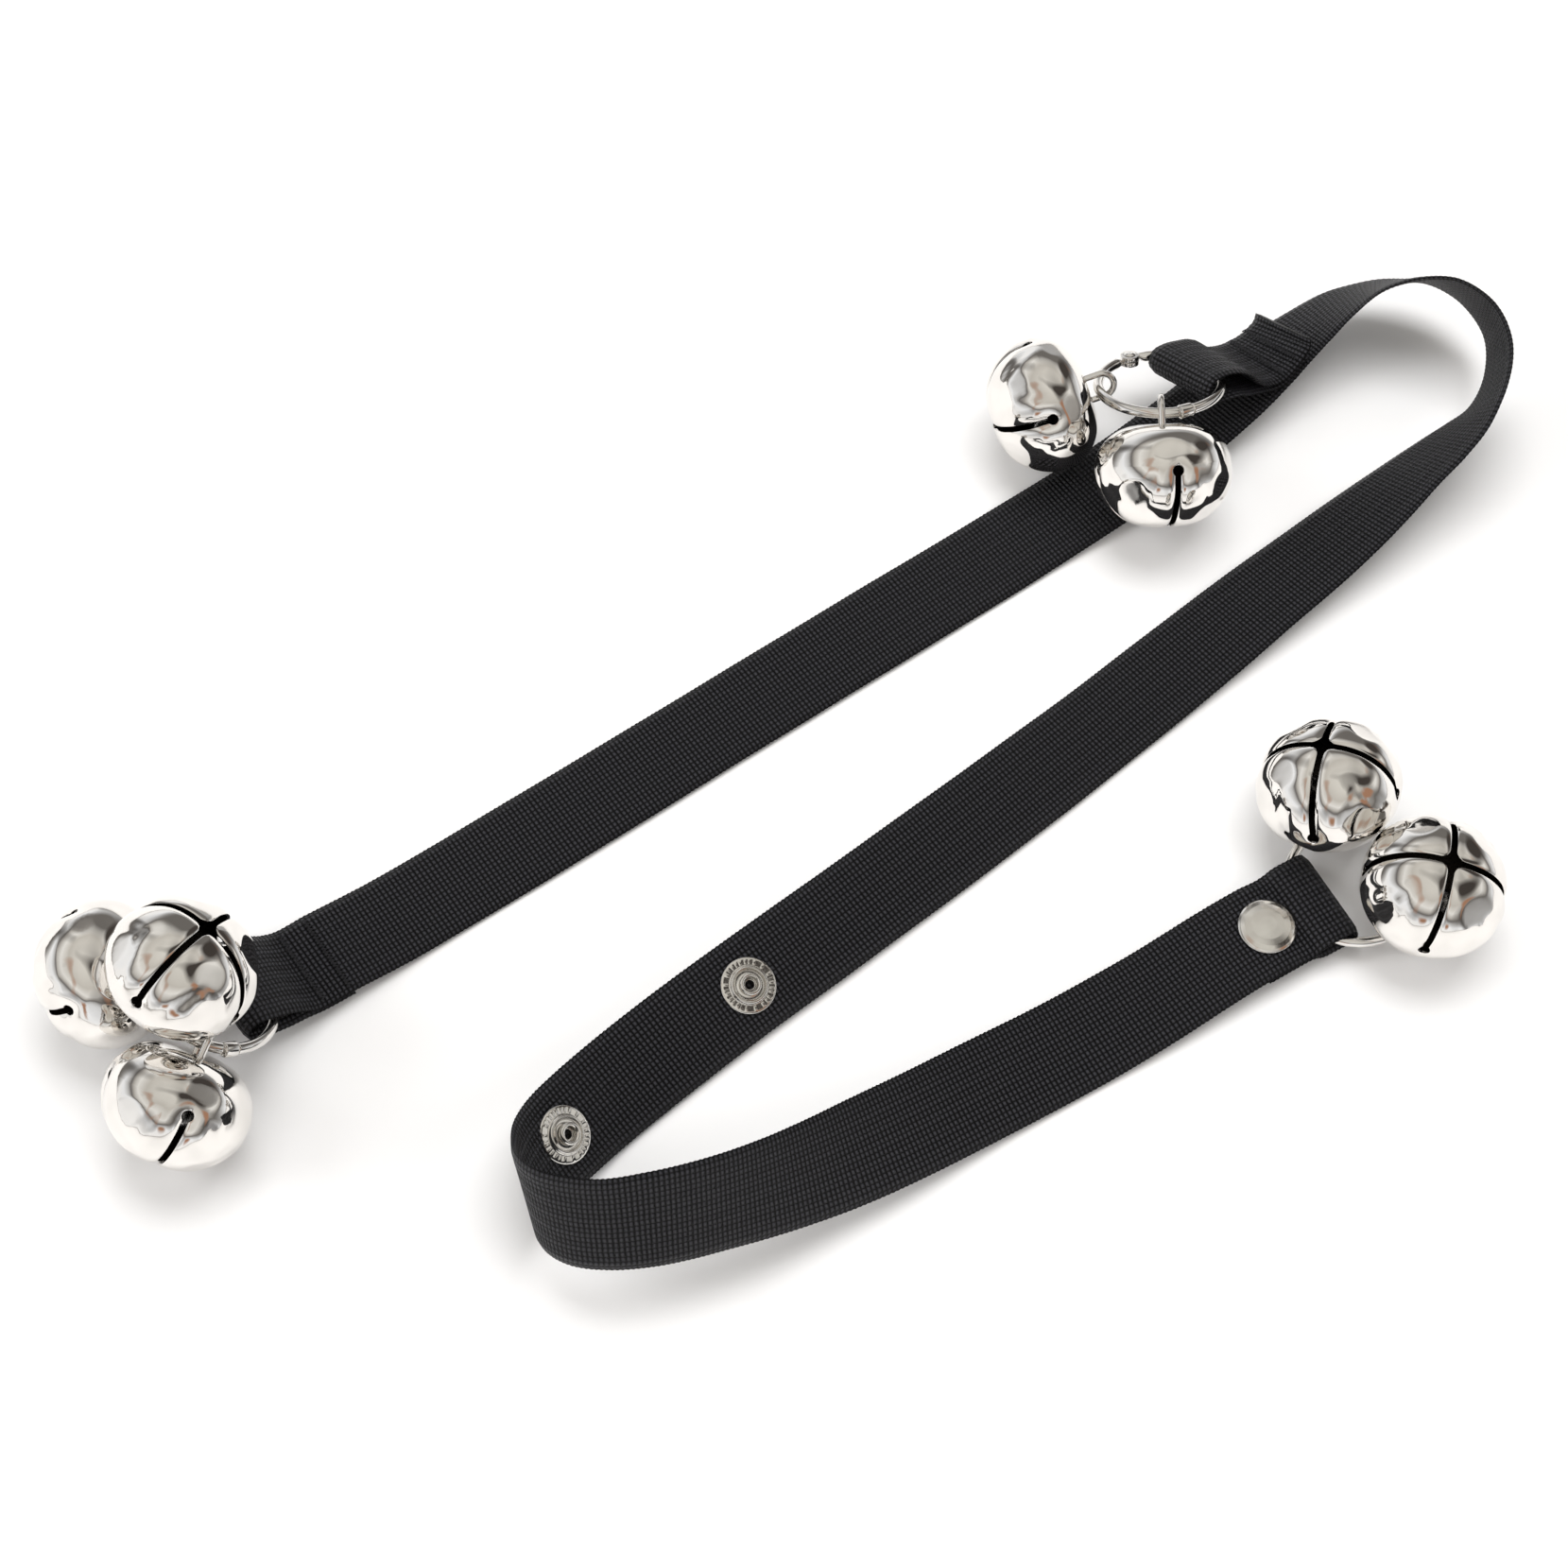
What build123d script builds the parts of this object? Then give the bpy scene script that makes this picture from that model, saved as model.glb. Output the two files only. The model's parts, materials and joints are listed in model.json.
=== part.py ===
from build123d import *
import os
from math import cos, degrees, pi, radians, sin, sqrt

# Sleigh bells on a webbing door strap: one long strap, lying in a zigzag,
# with a split ring of jingle bells at each end and a third ring on a sewn tab.
# Millimetres. +Z is up, the origin is under the middle of the whole object.

# ---------------------------------------------------------------- dimensions
ORIGIN = Vector(-7.03, -7.99, 0.172)   # where the layout's zero lies from the origin

WEB_WIDTH = 25.4                  # one inch nylon webbing
WEB_THICK = 1.4
LAYER_GAP = 0.1                   # between two sewn layers
LAYER_STEP = WEB_THICK + LAYER_GAP
ROUTE_STEP = 9.0                  # length of one straight facet of the strap

RING_RADIUS = 16.6                # to the middle of the wire
WIRE_RADIUS = 1.4
LUG_RADIUS = 2.6
LUG_SPLIT = 0.05                  # half of the gap between the two hinge lugs
LUG_RELIEF = 0.2                  # room round a lug for the other half's wire
RIVET_RADIUS = 0.8
RIVET_CLEARANCE = 0.05
RIVET_HEAD_RADIUS = 1.6
RIVET_HEAD_THICK = 0.5
RIVET_HEAD_GAP = 0.05
SLEEVE_RADIUS = 1.9
SLEEVE_LENGTH = 3.6
TIP_LENGTH = 2.0                  # cone on the ring body that enters the sleeve
TIP_BASE_RADIUS = 1.15
TIP_END_RADIUS = 0.6
TIP_CLEARANCE = 0.15

BELL_RADIUS = 18.6
SHELL_SCALE = 0.966               # inside of the shell against its outside
SLOT_WIDTH = 1.8
SLOT_FOOT = -1.5                  # axial place of the keyholes
KEYHOLE_RADIUS = 1.5
EYE_REACH = 16.0                  # bell centre to the ring wire in its shank
SHANK_WIRE = 0.9
SHANK_HALF = 3.4                  # half of the distance between the two legs
SHANK_DROP = 16.9                 # bell centre to the middle of the shank's bow
SHANK_TOP = 12.95                 # the legs end flush inside the crown
LEG_CLEARANCE = 0.05
PELLET_RADIUS = 4.0
PELLET_REST_GAP = 0.15

CAP_RADIUS = 7.5
CAP_RISE = 1.9
SNAP_STEM_RADIUS = 2.0
SNAP_HOLE_RADIUS = 2.1
SOCKET_RADIUS = 6.0
SOCKET_HEIGHT = 3.4
SOCKET_BORE_RADIUS = 3.1
SOCKET_BORE_DEPTH = 2.7
STUD_FLANGE_RADIUS = 7.2
STUD_FLANGE_THICK = 0.7
STUD_RIM_RADIUS = 4.6
STUD_RIM_WALL = 0.6
STUD_RIM_HEIGHT = 1.7
STUD_TUBE_RADIUS = 2.85
STUD_HOLE_RADIUS = 1.95
STUD_HEIGHT = 3.3
POST_RADIUS = 5.5
POST_THICK = 0.8
FACE_GAP = 0.03                   # hardware to webbing
SEAT_RADIUS = 7.6                 # the webbing is pressed flat under a stud
SEAT_DEPTH = 1.2

BAR_LENGTH = 22.0                 # sewn bar tacks
BAR_WIDTH = 1.8
BAR_THICK = 0.4
BAR_GAP = 0.2

# The strap's middle line, from the sewn end to the snap end. Each station is
# x, y, z, then the heading and the tilt in degrees of the width direction.
STATIONS = [
    (-122.5, -56.3, 5.9, -56, 0),
    (-114.0, -50.2, 4.2, -56, 0),
    (-100.0, -40.4, 1.6, -56, 0),
    (-88.0, -32.0, 0.9, -56, 0),
    (-57.0, -10.6, 0.9, -56, 0),
    (-9.0, 23.2, 0.9, -55.5, 0),
    (27.0, 48.4, 0.9, -55.5, 0),
    (63.0, 73.6, 0.9, -55.5, 0),
    (97.0, 97.8, 3.0, -56, 4),
    (123.6, 119.6, 7.0, -55, 12),
    (146.6, 138.2, 12.5, -63, 33),
    (155.3, 143.0, 16.5, -83, 36),
    (162.9, 145.3, 19.5, -99, 41),
    (170.5, 145.6, 22.5, -112, 47),
    (175.5, 145.2, 24.0, -117, 50),
    (185.8, 141.3, 25.0, -122, 63),
    (193.7, 132.4, 23.5, -117, 74),
    (195.5, 120.6, 21.0, -72, 76),
    (191.1, 108.2, 18.0, -59, 65),
    (185.6, 101.8, 16.0, -64, 51),
    (170.3, 89.1, 11.5, -60, 37),
    (156.2, 77.4, 7.8, -56, 25),
    (143.2, 66.8, 5.2, -53, 17),
    (127.3, 54.0, 3.4, -52, 11),
    (114.2, 42.9, 2.2, -50, 5),
    (99.6, 30.6, 1.2, -50, 1),
    (86.5, 19.3, 1.2, -48, -1),
    (61.4, -2.3, 2.6, -49, -7),
    (38.1, -21.6, 3.5, -49, -11),
    (15.2, -40.4, 4.7, -49.5, -15),
    (-20.6, -69.7, 6.4, -48, -23),
    (-35.4, -82.2, 6.2, -49, -23),
    (-47.0, -93.6, 7.8, -48, -29),
    (-54.4, -102.8, 11.0, -49.5, -34),
    (-59.3, -111.6, 15.4, -56, -46),
    (-60.7, -118.5, 20.0, -68.5, -53),
    (-59.1, -123.1, 23.7, -74, -54),
    (-55.4, -127.0, 27.0, -78, -54.7),
    (-49.7, -129.8, 29.5, -83, -54),
    (-41.0, -131.2, 31.2, -85, -53.6),
    (-30.6, -129.8, 30.8, -87, -50),
    (-13.4, -123.6, 26.0, -86.5, -47.5),
    (5.0, -114.2, 18.6, -76.5, -39),
    (26.4, -101.4, 10.9, -65.5, -24),
    (49.2, -87.2, 4.8, -61, -13),
    (73.9, -72.9, 2.6, -59, -6),
    (93.6, -61.1, 3.4, -58.5, -1),
    (108.9, -51.5, 5.0, -58.5, 0),
    (121.2, -44.2, 5.8, -60, 0),
    (127.2, -40.9, 5.8, -60, 0),
]

# A loop opens from the sewn layers to its round crown: how far out, and half
# of the distance between the middles of its two layers.
END_LOOP = [(3.0, 1.3), (6.5, 2.5), (10.0, 3.2), (14.0, 3.6), (17.3, 3.7)]
END_LOOP_PITCH = 30.0             # it rises towards its crown, degrees
END_TAIL = 13.0
SNAP_LOOP = [(0.6, 1.1), (1.8, 2.2), (3.8, 3.0), (7.0, 3.1), (9.6, 3.1)]
SNAP_LOOP_PITCH = 0.0
SNAP_TAIL = 18.0
SNAP_FROM_END = 6.6               # snap centre to the strap's last station
STUD_A_AT = 678.0                 # along the strap, from its first station
STUD_B_AT = 739.0
END_BARS_AT = [2.2, 9.6]

# The tab's middle line, from its sewn end to the crown of its loop: x, y, z,
# heading and tilt as above, then half of the distance between its layers.
TAB_MIDLINE = [
    (122.5, 121.5, 15.1, -58, 20, 1.3),
    (119.2, 119.6, 18.6, -58, 22, 2.7),
    (115.6, 117.4, 21.0, -57, 24, 3.5),
    (110.2, 114.2, 22.9, -55, 24, 3.6),
]
TAB_SEWN_FROM = 309.0             # along the strap, from its first station
TAB_SEWN_TO = 332.0
TAB_BARS_AT = [315.0, 320.5]
TAB_SEAT = 0.15                   # extra room under the tab where the strap twists
TAB_HEM = 4.0

# Rings: middle, then heading, pitch and bank in degrees of the direction that
# points into the webbing, and the angle at which the gate's free end lies.
RINGS = {
    "end": ((-139.4, -68.6, 19.6), 31, 38, 2, 95),
    "mid": ((101.8, 109.8, 24.5), 37, 13, 23.5, 100),
    "far": ((144.6, -31.2, 5.3), 210, 0, 0, 75),
}

# Bells: ring, angle on it, direction of the slotted end, and turn of the slots.
BELLS = {
    "end_rear": ("end", 228, (-0.83, 0.02, -0.535), 8),
    "end_front": ("end", 174, (0.51, 0.32, 0.79), 19),
    "end_lower": ("end", 124, (-0.41, -0.83, -0.42), 1),
    "mid_left": ("mid", 215, (-0.92, -0.22, -0.25), 13),
    "mid_right": ("mid", 128, (0.05, -0.78, -0.59), 79),
    "far_upper": ("far", 108, (-0.23, 0.27, 0.94), 58),
    "far_right": ("far", 240, (0.12, -0.02, 0.99), 17),
}


# ------------------------------------------------------------------ helpers
def save(name, solids):
    """Write one node: a solid, or a group of separate solids."""
    group = solids if isinstance(solids, list) else [solids]
    shape = group[0] if len(group) == 1 else Compound(children=group)
    export_step(Pos(ORIGIN) * shape, f"parts/{name}.step")


def width_direction(heading, tilt):
    flat = cos(radians(tilt))
    return Vector(cos(radians(heading)) * flat, sin(radians(heading)) * flat, sin(radians(tilt)))


def smooth(before, start, end, after, share, spans):
    """A point on the cubic from start to end that leaves room for its neighbours."""
    back, here, ahead = spans
    leave = (start - before) * (here / (back * (back + here))) + (end - start) * (back / (here * (back + here)))
    arrive = (end - start) * (ahead / (here * (here + ahead))) + (after - end) * (here / (ahead * (here + ahead)))
    s2 = share * share
    s3 = s2 * share
    point = start * (2 * s3 - 3 * s2 + 1) + end * (3 * s2 - 2 * s3)
    return point + leave * (here * (s3 - 2 * s2 + share)) + arrive * (here * (s3 - s2))


def route_through(stations, step):
    """Middle points and width directions, a step apart, through the stations."""
    points = [Vector(*s[:3]) for s in stations]
    widths = [width_direction(s[3], s[4]) for s in stations]
    points = [points[0] * 2 - points[1]] + points + [points[-1] * 2 - points[-2]]
    widths = [widths[0]] + widths + [widths[-1]]
    gaps = [(b - a).length for a, b in zip(points, points[1:])]
    route = []
    for i in range(1, len(points) - 2):
        count = max(1, round(gaps[i] / step))
        spans = gaps[i - 1:i + 2]
        for k in range(count):
            middle = smooth(*points[i - 1:i + 3], k / count, spans)
            across = smooth(*widths[i - 1:i + 3], k / count, spans)
            route.append((middle, across.normalized()))
    route.append((points[-2], widths[-2]))
    return route


def frames_along(route):
    """Middle, forward, across and face directions at each point of a route."""
    frames = []
    for i, (middle, across, *known) in enumerate(route):
        before = route[max(0, i - 1)][0]
        after = route[min(len(route) - 1, i + 1)][0]
        forward = (after - before).normalized()
        if not known:
            across = (across - forward * across.dot(forward)).normalized()
        face = across.cross(forward)
        if known:
            face = known[0] if known[0].dot(face) > 0 else known[0] * -1
        frames.append((middle, forward, across, face))
    return frames


def ribbon(route):
    """A flat strip of webbing that follows a route, as one solid."""
    sections = []
    for middle, _, across, face in frames_along(route):
        side = across * (WEB_WIDTH / 2)
        lift = face * (WEB_THICK / 2)
        corners = [middle - side - lift, middle + side - lift, middle + side + lift, middle - side + lift]
        sections.append(Wire.make_polygon(corners, close=True))
    return Solid.make_loft(sections, ruled=True)


def route_length(route):
    return sum((b[0] - a[0]).length for a, b in zip(route, route[1:]))


def frame_at(frames, distance):
    """The frame at a distance along the strap, and the middle point there."""
    run = 0.0
    for (a, _, across, _), (b, _, next_across, _) in zip(frames, frames[1:]):
        step = (b - a).length
        if run + step >= distance:
            share = (distance - run) / step
            forward = (b - a).normalized()
            across = across * (1 - share) + next_across * share
            across = (across - forward * across.dot(forward)).normalized()
            return a + (b - a) * share, forward, across, across.cross(forward)
        run += step
    return frames[-1]


def loop_points(root, outward, across, face, profile):
    """Half of a folded loop after the other, from one layer round to the other."""
    near = [(root + outward * u - face * g, across) for u, g in profile]
    centre_u, radius = profile[-1]
    crown = []
    for turn in range(-60, 61, 30):
        reach = centre_u + radius * cos(radians(turn))
        crown.append((root + outward * reach + face * (radius * sin(radians(turn))), across))
    far = [(root + outward * u + face * g, across) for u, g in reversed(profile)]
    return near + crown + far


def pitched(direction, across, pitch):
    """A direction raised by a pitch, and the face direction over it."""
    level = (direction - Vector(0, 0, direction.Z)).normalized()
    outward = (level * cos(radians(pitch)) + Vector(0, 0, sin(radians(pitch)))).normalized()
    across = (across - outward * across.dot(outward)).normalized()
    face = outward.cross(across)
    return outward, across, face if face.Z > 0 else face * -1


# -------------------------------------------------------------------- strap
def main_route():
    return route_through(STATIONS, ROUTE_STEP)


def under_layer(frames, length):
    """Points of a tail that lies under the first stretch of these frames."""
    points = []
    run = 0.0
    last = frames[0][0]
    for middle, _, across, face in frames:
        run += (middle - last).length
        last = middle
        if run > length:
            break
        points.append((middle - face * LAYER_STEP, across, face))
    return points


def strap_route():
    """The whole strap with its two end loops and the tails sewn under it."""
    main = main_route()
    frames = frames_along(main)
    start, forward, across, face = frames[0]
    outward, start_across, start_face = pitched(forward * -1, across, END_LOOP_PITCH)
    first_tail = under_layer(frames, END_TAIL)[::-1]
    first_loop = loop_points(start - face * (LAYER_STEP / 2), outward, start_across, start_face, END_LOOP)
    end, forward, across, face = frames[-1]
    outward, end_across, end_face = pitched(forward, across, SNAP_LOOP_PITCH)
    last_loop = loop_points(end - face * (LAYER_STEP / 2), outward, end_across, end_face, SNAP_LOOP)[::-1]
    last_tail = under_layer(frames[::-1], SNAP_TAIL)
    return first_tail + first_loop + main + last_loop + last_tail


def tab_route():
    """The sewn tab: flat on the strap, round its ring, and back over itself."""
    frames = frames_along(main_route())
    lower = []
    upper = []
    run = 0.0
    for (last, *_), (middle, _, across, face) in zip(frames, frames[1:]):
        run += (middle - last).length
        if TAB_SEWN_FROM <= run <= TAB_SEWN_TO:
            lower.insert(0, (middle + face * (LAYER_STEP + TAB_SEAT), across, face))
            upper.insert(0, (middle + face * (2 * LAYER_STEP + TAB_SEAT), across, face))
    points = [(lower[-1][0] + upper[-1][0]) * 0.5] + [Vector(*m[:3]) for m in TAB_MIDLINE]
    for i, (*_, heading, tilt, half) in enumerate(TAB_MIDLINE, 1):
        middle = points[i]
        forward = (points[min(i + 1, len(points) - 1)] - points[i - 1]).normalized()
        across = width_direction(heading, tilt)
        across = (across - forward * across.dot(forward)).normalized()
        face = across.cross(forward) * -1
        lower.append((middle - face * half, across))
        upper.append((middle + face * half, across))
    crown = []
    for turn in range(-60, 61, 30):
        place = middle + forward * (half * cos(radians(turn))) + face * (half * sin(radians(turn)))
        crown.append((place, across))
    end, across, face = upper[0]
    back = (upper[0][0] - upper[1][0]).normalized()
    hem = [(end + back * (TAB_HEM * 0.45) + face * (TAB_HEM * 0.15), across),
           (end + back * (TAB_HEM * 0.8) + face * (TAB_HEM * 0.6), across)]
    return lower + crown + upper[::-1] + hem


def bar_tack(middle, across, face, offset):
    """One row of bar stitches on a face of the webbing."""
    place = Plane(origin=middle + face * offset, x_dir=across, z_dir=face)
    return place * Pos(0, 0, BAR_THICK / 2) * Box(BAR_LENGTH, BAR_WIDTH, BAR_THICK)


# -------------------------------------------------------------------- snaps
def turned(outline):
    """A solid of revolution about Z from radius, height points."""
    return revolve(Plane.XZ * make_face(Polyline(*outline, close=True)), Axis.Z)


def snap_cap(through):
    """Domed cap with the stem that goes through the webbing."""
    dome_radius = (CAP_RADIUS ** 2 + CAP_RISE ** 2) / (2 * CAP_RISE)
    dome = Pos(0, 0, CAP_RISE - dome_radius) * Sphere(dome_radius)
    dome &= Pos(0, 0, CAP_RISE / 2) * Cylinder(CAP_RADIUS, CAP_RISE)
    return dome + Pos(0, 0, -through / 2 + 0.2) * Cylinder(SNAP_STEM_RADIUS, through + 0.4)


def snap_socket():
    """Cup with a bore for the stud and a rolled flange against the webbing."""
    lip = 0.5
    outline = [(SOCKET_BORE_RADIUS, 0), (SOCKET_RADIUS - 1.2, 0), (SOCKET_RADIUS - 0.6, lip),
               (SOCKET_RADIUS - 0.6, SOCKET_HEIGHT - 1.0), (SOCKET_RADIUS, SOCKET_HEIGHT - 0.8),
               (SOCKET_RADIUS, SOCKET_HEIGHT), (0, SOCKET_HEIGHT), (0, SOCKET_BORE_DEPTH),
               (SOCKET_BORE_RADIUS + 0.3, SOCKET_BORE_DEPTH), (SOCKET_BORE_RADIUS + 0.3, lip)]
    return turned(outline)


def snap_stud():
    """Flange, raised rim and central tube of a press stud."""
    rim_in = STUD_RIM_RADIUS - STUD_RIM_WALL
    waist = STUD_TUBE_RADIUS - 0.3
    outline = [(STUD_HOLE_RADIUS, 0), (STUD_FLANGE_RADIUS, 0), (STUD_FLANGE_RADIUS, STUD_FLANGE_THICK * 0.6),
               (STUD_FLANGE_RADIUS - 0.5, STUD_FLANGE_THICK), (STUD_RIM_RADIUS + 0.4, STUD_FLANGE_THICK),
               (STUD_RIM_RADIUS, STUD_RIM_HEIGHT), (rim_in, STUD_RIM_HEIGHT), (rim_in - 0.2, STUD_FLANGE_THICK),
               (waist, STUD_FLANGE_THICK), (waist, STUD_HEIGHT - 1.3), (STUD_TUBE_RADIUS, STUD_HEIGHT - 0.8),
               (STUD_TUBE_RADIUS - 0.4, STUD_HEIGHT), (STUD_HOLE_RADIUS, STUD_HEIGHT)]
    return turned(outline)


def snap_post():
    """Back plate of a stud with the eyelet stem that is spread inside its tube."""
    stem = STUD_HOLE_RADIUS - 0.05
    top = POST_THICK + WEB_THICK + 1.6
    outline = [(0, 0), (POST_RADIUS, 0), (POST_RADIUS, POST_THICK * 0.5), (POST_RADIUS - 0.6, POST_THICK),
               (stem, POST_THICK), (stem, top), (stem - 0.7, top), (stem - 0.7, POST_THICK), (0, POST_THICK)]
    return turned(outline)


# -------------------------------------------------------------------- rings
def ring_directions(heading, pitch, bank):
    """Into the webbing, along the wire there, and the ring's upper normal."""
    toward = Vector(cos(radians(heading)), sin(radians(heading)), 0)
    beside = Vector(sin(radians(heading)), -cos(radians(heading)), 0)
    up = Vector(0, 0, 1)
    banked = beside * cos(radians(bank)) + up * sin(radians(bank))
    normal = up * cos(radians(bank)) - beside * sin(radians(bank))
    into = toward * cos(radians(pitch)) - normal * sin(radians(pitch))
    return into, banked, normal * cos(radians(pitch)) + toward * sin(radians(pitch))


def ring_plane(name):
    centre, heading, pitch, bank, _ = RINGS[name]
    into, banked, _ = ring_directions(heading, pitch, bank)
    return Plane(origin=centre, x_dir=into, z_dir=into.cross(banked))


def ring_point(angle):
    return Vector(RING_RADIUS * cos(radians(angle)), RING_RADIUS * sin(radians(angle)), 0)


def wire_arc(start, sweep):
    """A stretch of the ring's wire about Z."""
    section = Plane.XZ * Pos(RING_RADIUS, 0) * Circle(WIRE_RADIUS)
    return Rot(0, 0, start) * revolve(section, Axis.Z, revolution_arc=sweep)


def lug(angle, low, high, hole):
    """One half of the lapped hinge."""
    disc = Cylinder(LUG_RADIUS, high - low) - Cylinder(hole, high - low)
    return Pos(ring_point(angle)) * Pos(0, 0, (low + high) / 2) * disc


def half_ring(start, sweep, hinge, low, high, hole):
    """Half of the wire, cut back round the other half's lug, with its own lug."""
    wire = wire_arc(start, sweep)
    clear_low = LUG_SPLIT if low < 0 else -WIRE_RADIUS - 1
    clear_high = WIRE_RADIUS + 1 if low < 0 else -LUG_SPLIT
    relief = Cylinder(LUG_RADIUS + LUG_RELIEF, clear_high - clear_low)
    at_hinge = Pos(ring_point(hinge))
    wire -= at_hinge * Pos(0, 0, (clear_low + clear_high) / 2) * relief
    wire -= at_hinge * Cylinder(LUG_RADIUS - 0.2, 3 * WIRE_RADIUS)
    return wire + lug(hinge, low, high, hole)


def along_wire(angle):
    """A plane at the wire whose Z runs along it, towards larger angles."""
    tangent = Vector(-sin(radians(angle)), cos(radians(angle)), 0)
    return Plane(origin=ring_point(angle), x_dir=Vector(0, 0, 1), z_dir=tangent)


def ring_body(latch):
    """The half in the webbing: a lug at one end, a cone at the other."""
    hinge = latch + 180
    gap = degrees(TIP_CLEARANCE / RING_RADIUS)
    half = half_ring(hinge, 180 - gap, hinge, -WIRE_RADIUS, -LUG_SPLIT, RIVET_RADIUS)
    cone_height = TIP_LENGTH + TIP_CLEARANCE
    cone = Cone(TIP_BASE_RADIUS, TIP_END_RADIUS, cone_height)
    return half + along_wire(latch) * Pos(0, 0, cone_height / 2 - 2 * TIP_CLEARANCE) * cone


def ring_gate(latch):
    """The half that opens: a sleeve at one end, a lug at the other."""
    hinge = latch + 180
    half = half_ring(latch, 180, hinge, LUG_SPLIT, WIRE_RADIUS, RIVET_RADIUS + RIVET_CLEARANCE)
    at_latch = along_wire(latch)
    half += at_latch * Pos(0, 0, SLEEVE_LENGTH / 2) * Cylinder(SLEEVE_RADIUS, SLEEVE_LENGTH)
    bore_length = TIP_LENGTH + 0.4
    bore = Cone(TIP_BASE_RADIUS + TIP_CLEARANCE, TIP_END_RADIUS + TIP_CLEARANCE, bore_length)
    half -= at_latch * Pos(0, 0, bore_length / 2) * bore
    return half


def ring_rivet(latch):
    """Hinge pin with a head on each side."""
    length = 2 * WIRE_RADIUS + 2 * RIVET_HEAD_GAP
    pin = Cylinder(RIVET_RADIUS, length + 0.4)
    for side in (-1, 1):
        height = side * (length / 2 + RIVET_HEAD_THICK / 2)
        pin += Pos(0, 0, height) * Cylinder(RIVET_HEAD_RADIUS, RIVET_HEAD_THICK)
    return Pos(ring_point(latch + 180)) * pin


# -------------------------------------------------------------------- bells
def bell_outline():
    """Outer profile of a bell from its crown to the crossing of its slots."""
    return Spline((0, -13.4), (7, -13.1), (12, -11.6), (16.2, -8.0), (18.3, -3.5), (BELL_RADIUS, 0.5),
                  (17.8, 4.0), (15.2, 8.6), (11, 12.2), (6, 14.1), (0, 14.6), tangents=((1, 0), (-1, 0)))


def bell_shell():
    """Thin round shell with four slots that meet in a cross, and two leg holes."""
    curve = bell_outline()
    solid = revolve(Plane.XZ * make_face(curve + Line(curve @ 1, curve @ 0)), Axis.Z)
    shell = solid - scale(solid, by=SHELL_SCALE)
    length = 2 * BELL_RADIUS + 2
    for turn in (0, 90):
        slot = Pos(0, 0, SLOT_FOOT + length / 4) * Box(length, SLOT_WIDTH, length / 2)
        keyhole = Pos(0, 0, SLOT_FOOT) * Rot(0, 90, 0) * Cylinder(KEYHOLE_RADIUS, length)
        shell -= Rot(0, 0, turn) * (slot + keyhole)
    return shell


def leg_holes():
    """Cutters for the two shank legs, across the shank's own plane."""
    hole = Pos(0, 0, -SHANK_TOP) * Cylinder(SHANK_WIRE + LEG_CLEARANCE, 8)
    return [Pos(side * SHANK_HALF, 0, 0) * hole for side in (-1, 1)]


def bell_shank():
    """Wire staple: two legs through the crown, a bow round the ring's wire."""
    leg_length = SHANK_DROP - SHANK_TOP
    section = Circle(SHANK_WIRE)
    bow = revolve(Plane.XY * Pos(SHANK_HALF, 0) * section, Axis.Y, revolution_arc=180)
    shank = Pos(0, 0, -SHANK_DROP) * bow
    for side in (-1, 1):
        leg = Cylinder(SHANK_WIRE, leg_length)
        shank += Pos(side * SHANK_HALF, 0, -SHANK_DROP + leg_length / 2) * leg
    return shank


def bell_plane(name):
    """Bell centre, slotted end along Z, shank plane across the ring's wire."""
    ring, angle, axis, _ = BELLS[name]
    place = ring_plane(ring)
    eye = place.from_local_coords(ring_point(angle))
    tangent = place.from_local_coords(ring_point(angle + 90)) - place.origin
    axis = Vector(*axis).normalized()
    hole = (tangent - axis * tangent.dot(axis)).normalized()
    return Plane(origin=eye + axis * EYE_REACH, x_dir=hole.cross(axis), z_dir=axis)


def pellet_rest(place):
    """Centre of a pellet that lies at the lowest point inside a bell."""
    down = place.to_local_coords(place.origin - Vector(0, 0, 1))
    tilt = sqrt(down.X ** 2 + down.Y ** 2)
    best = None
    curve = bell_outline()
    for k in range(401):
        point = curve @ (k / 400)
        inside = (point.X * SHELL_SCALE, point.Y * SHELL_SCALE)
        reach = inside[0] * tilt + inside[1] * down.Z
        if best is None or reach > best[0]:
            best = (reach, k / 400, inside)
    _, share, inside = best
    slope = (curve % share).normalized()
    inward = Vector(-slope.Y, slope.X)
    gap = PELLET_RADIUS + PELLET_REST_GAP
    radial = inside[0] + inward.X * gap
    axial = inside[1] + inward.Y * gap
    across = Vector(down.X, down.Y, 0) * (1 / max(tilt, 1e-9))
    return place.from_local_coords(across * radial + Vector(0, 0, axial))


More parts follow.
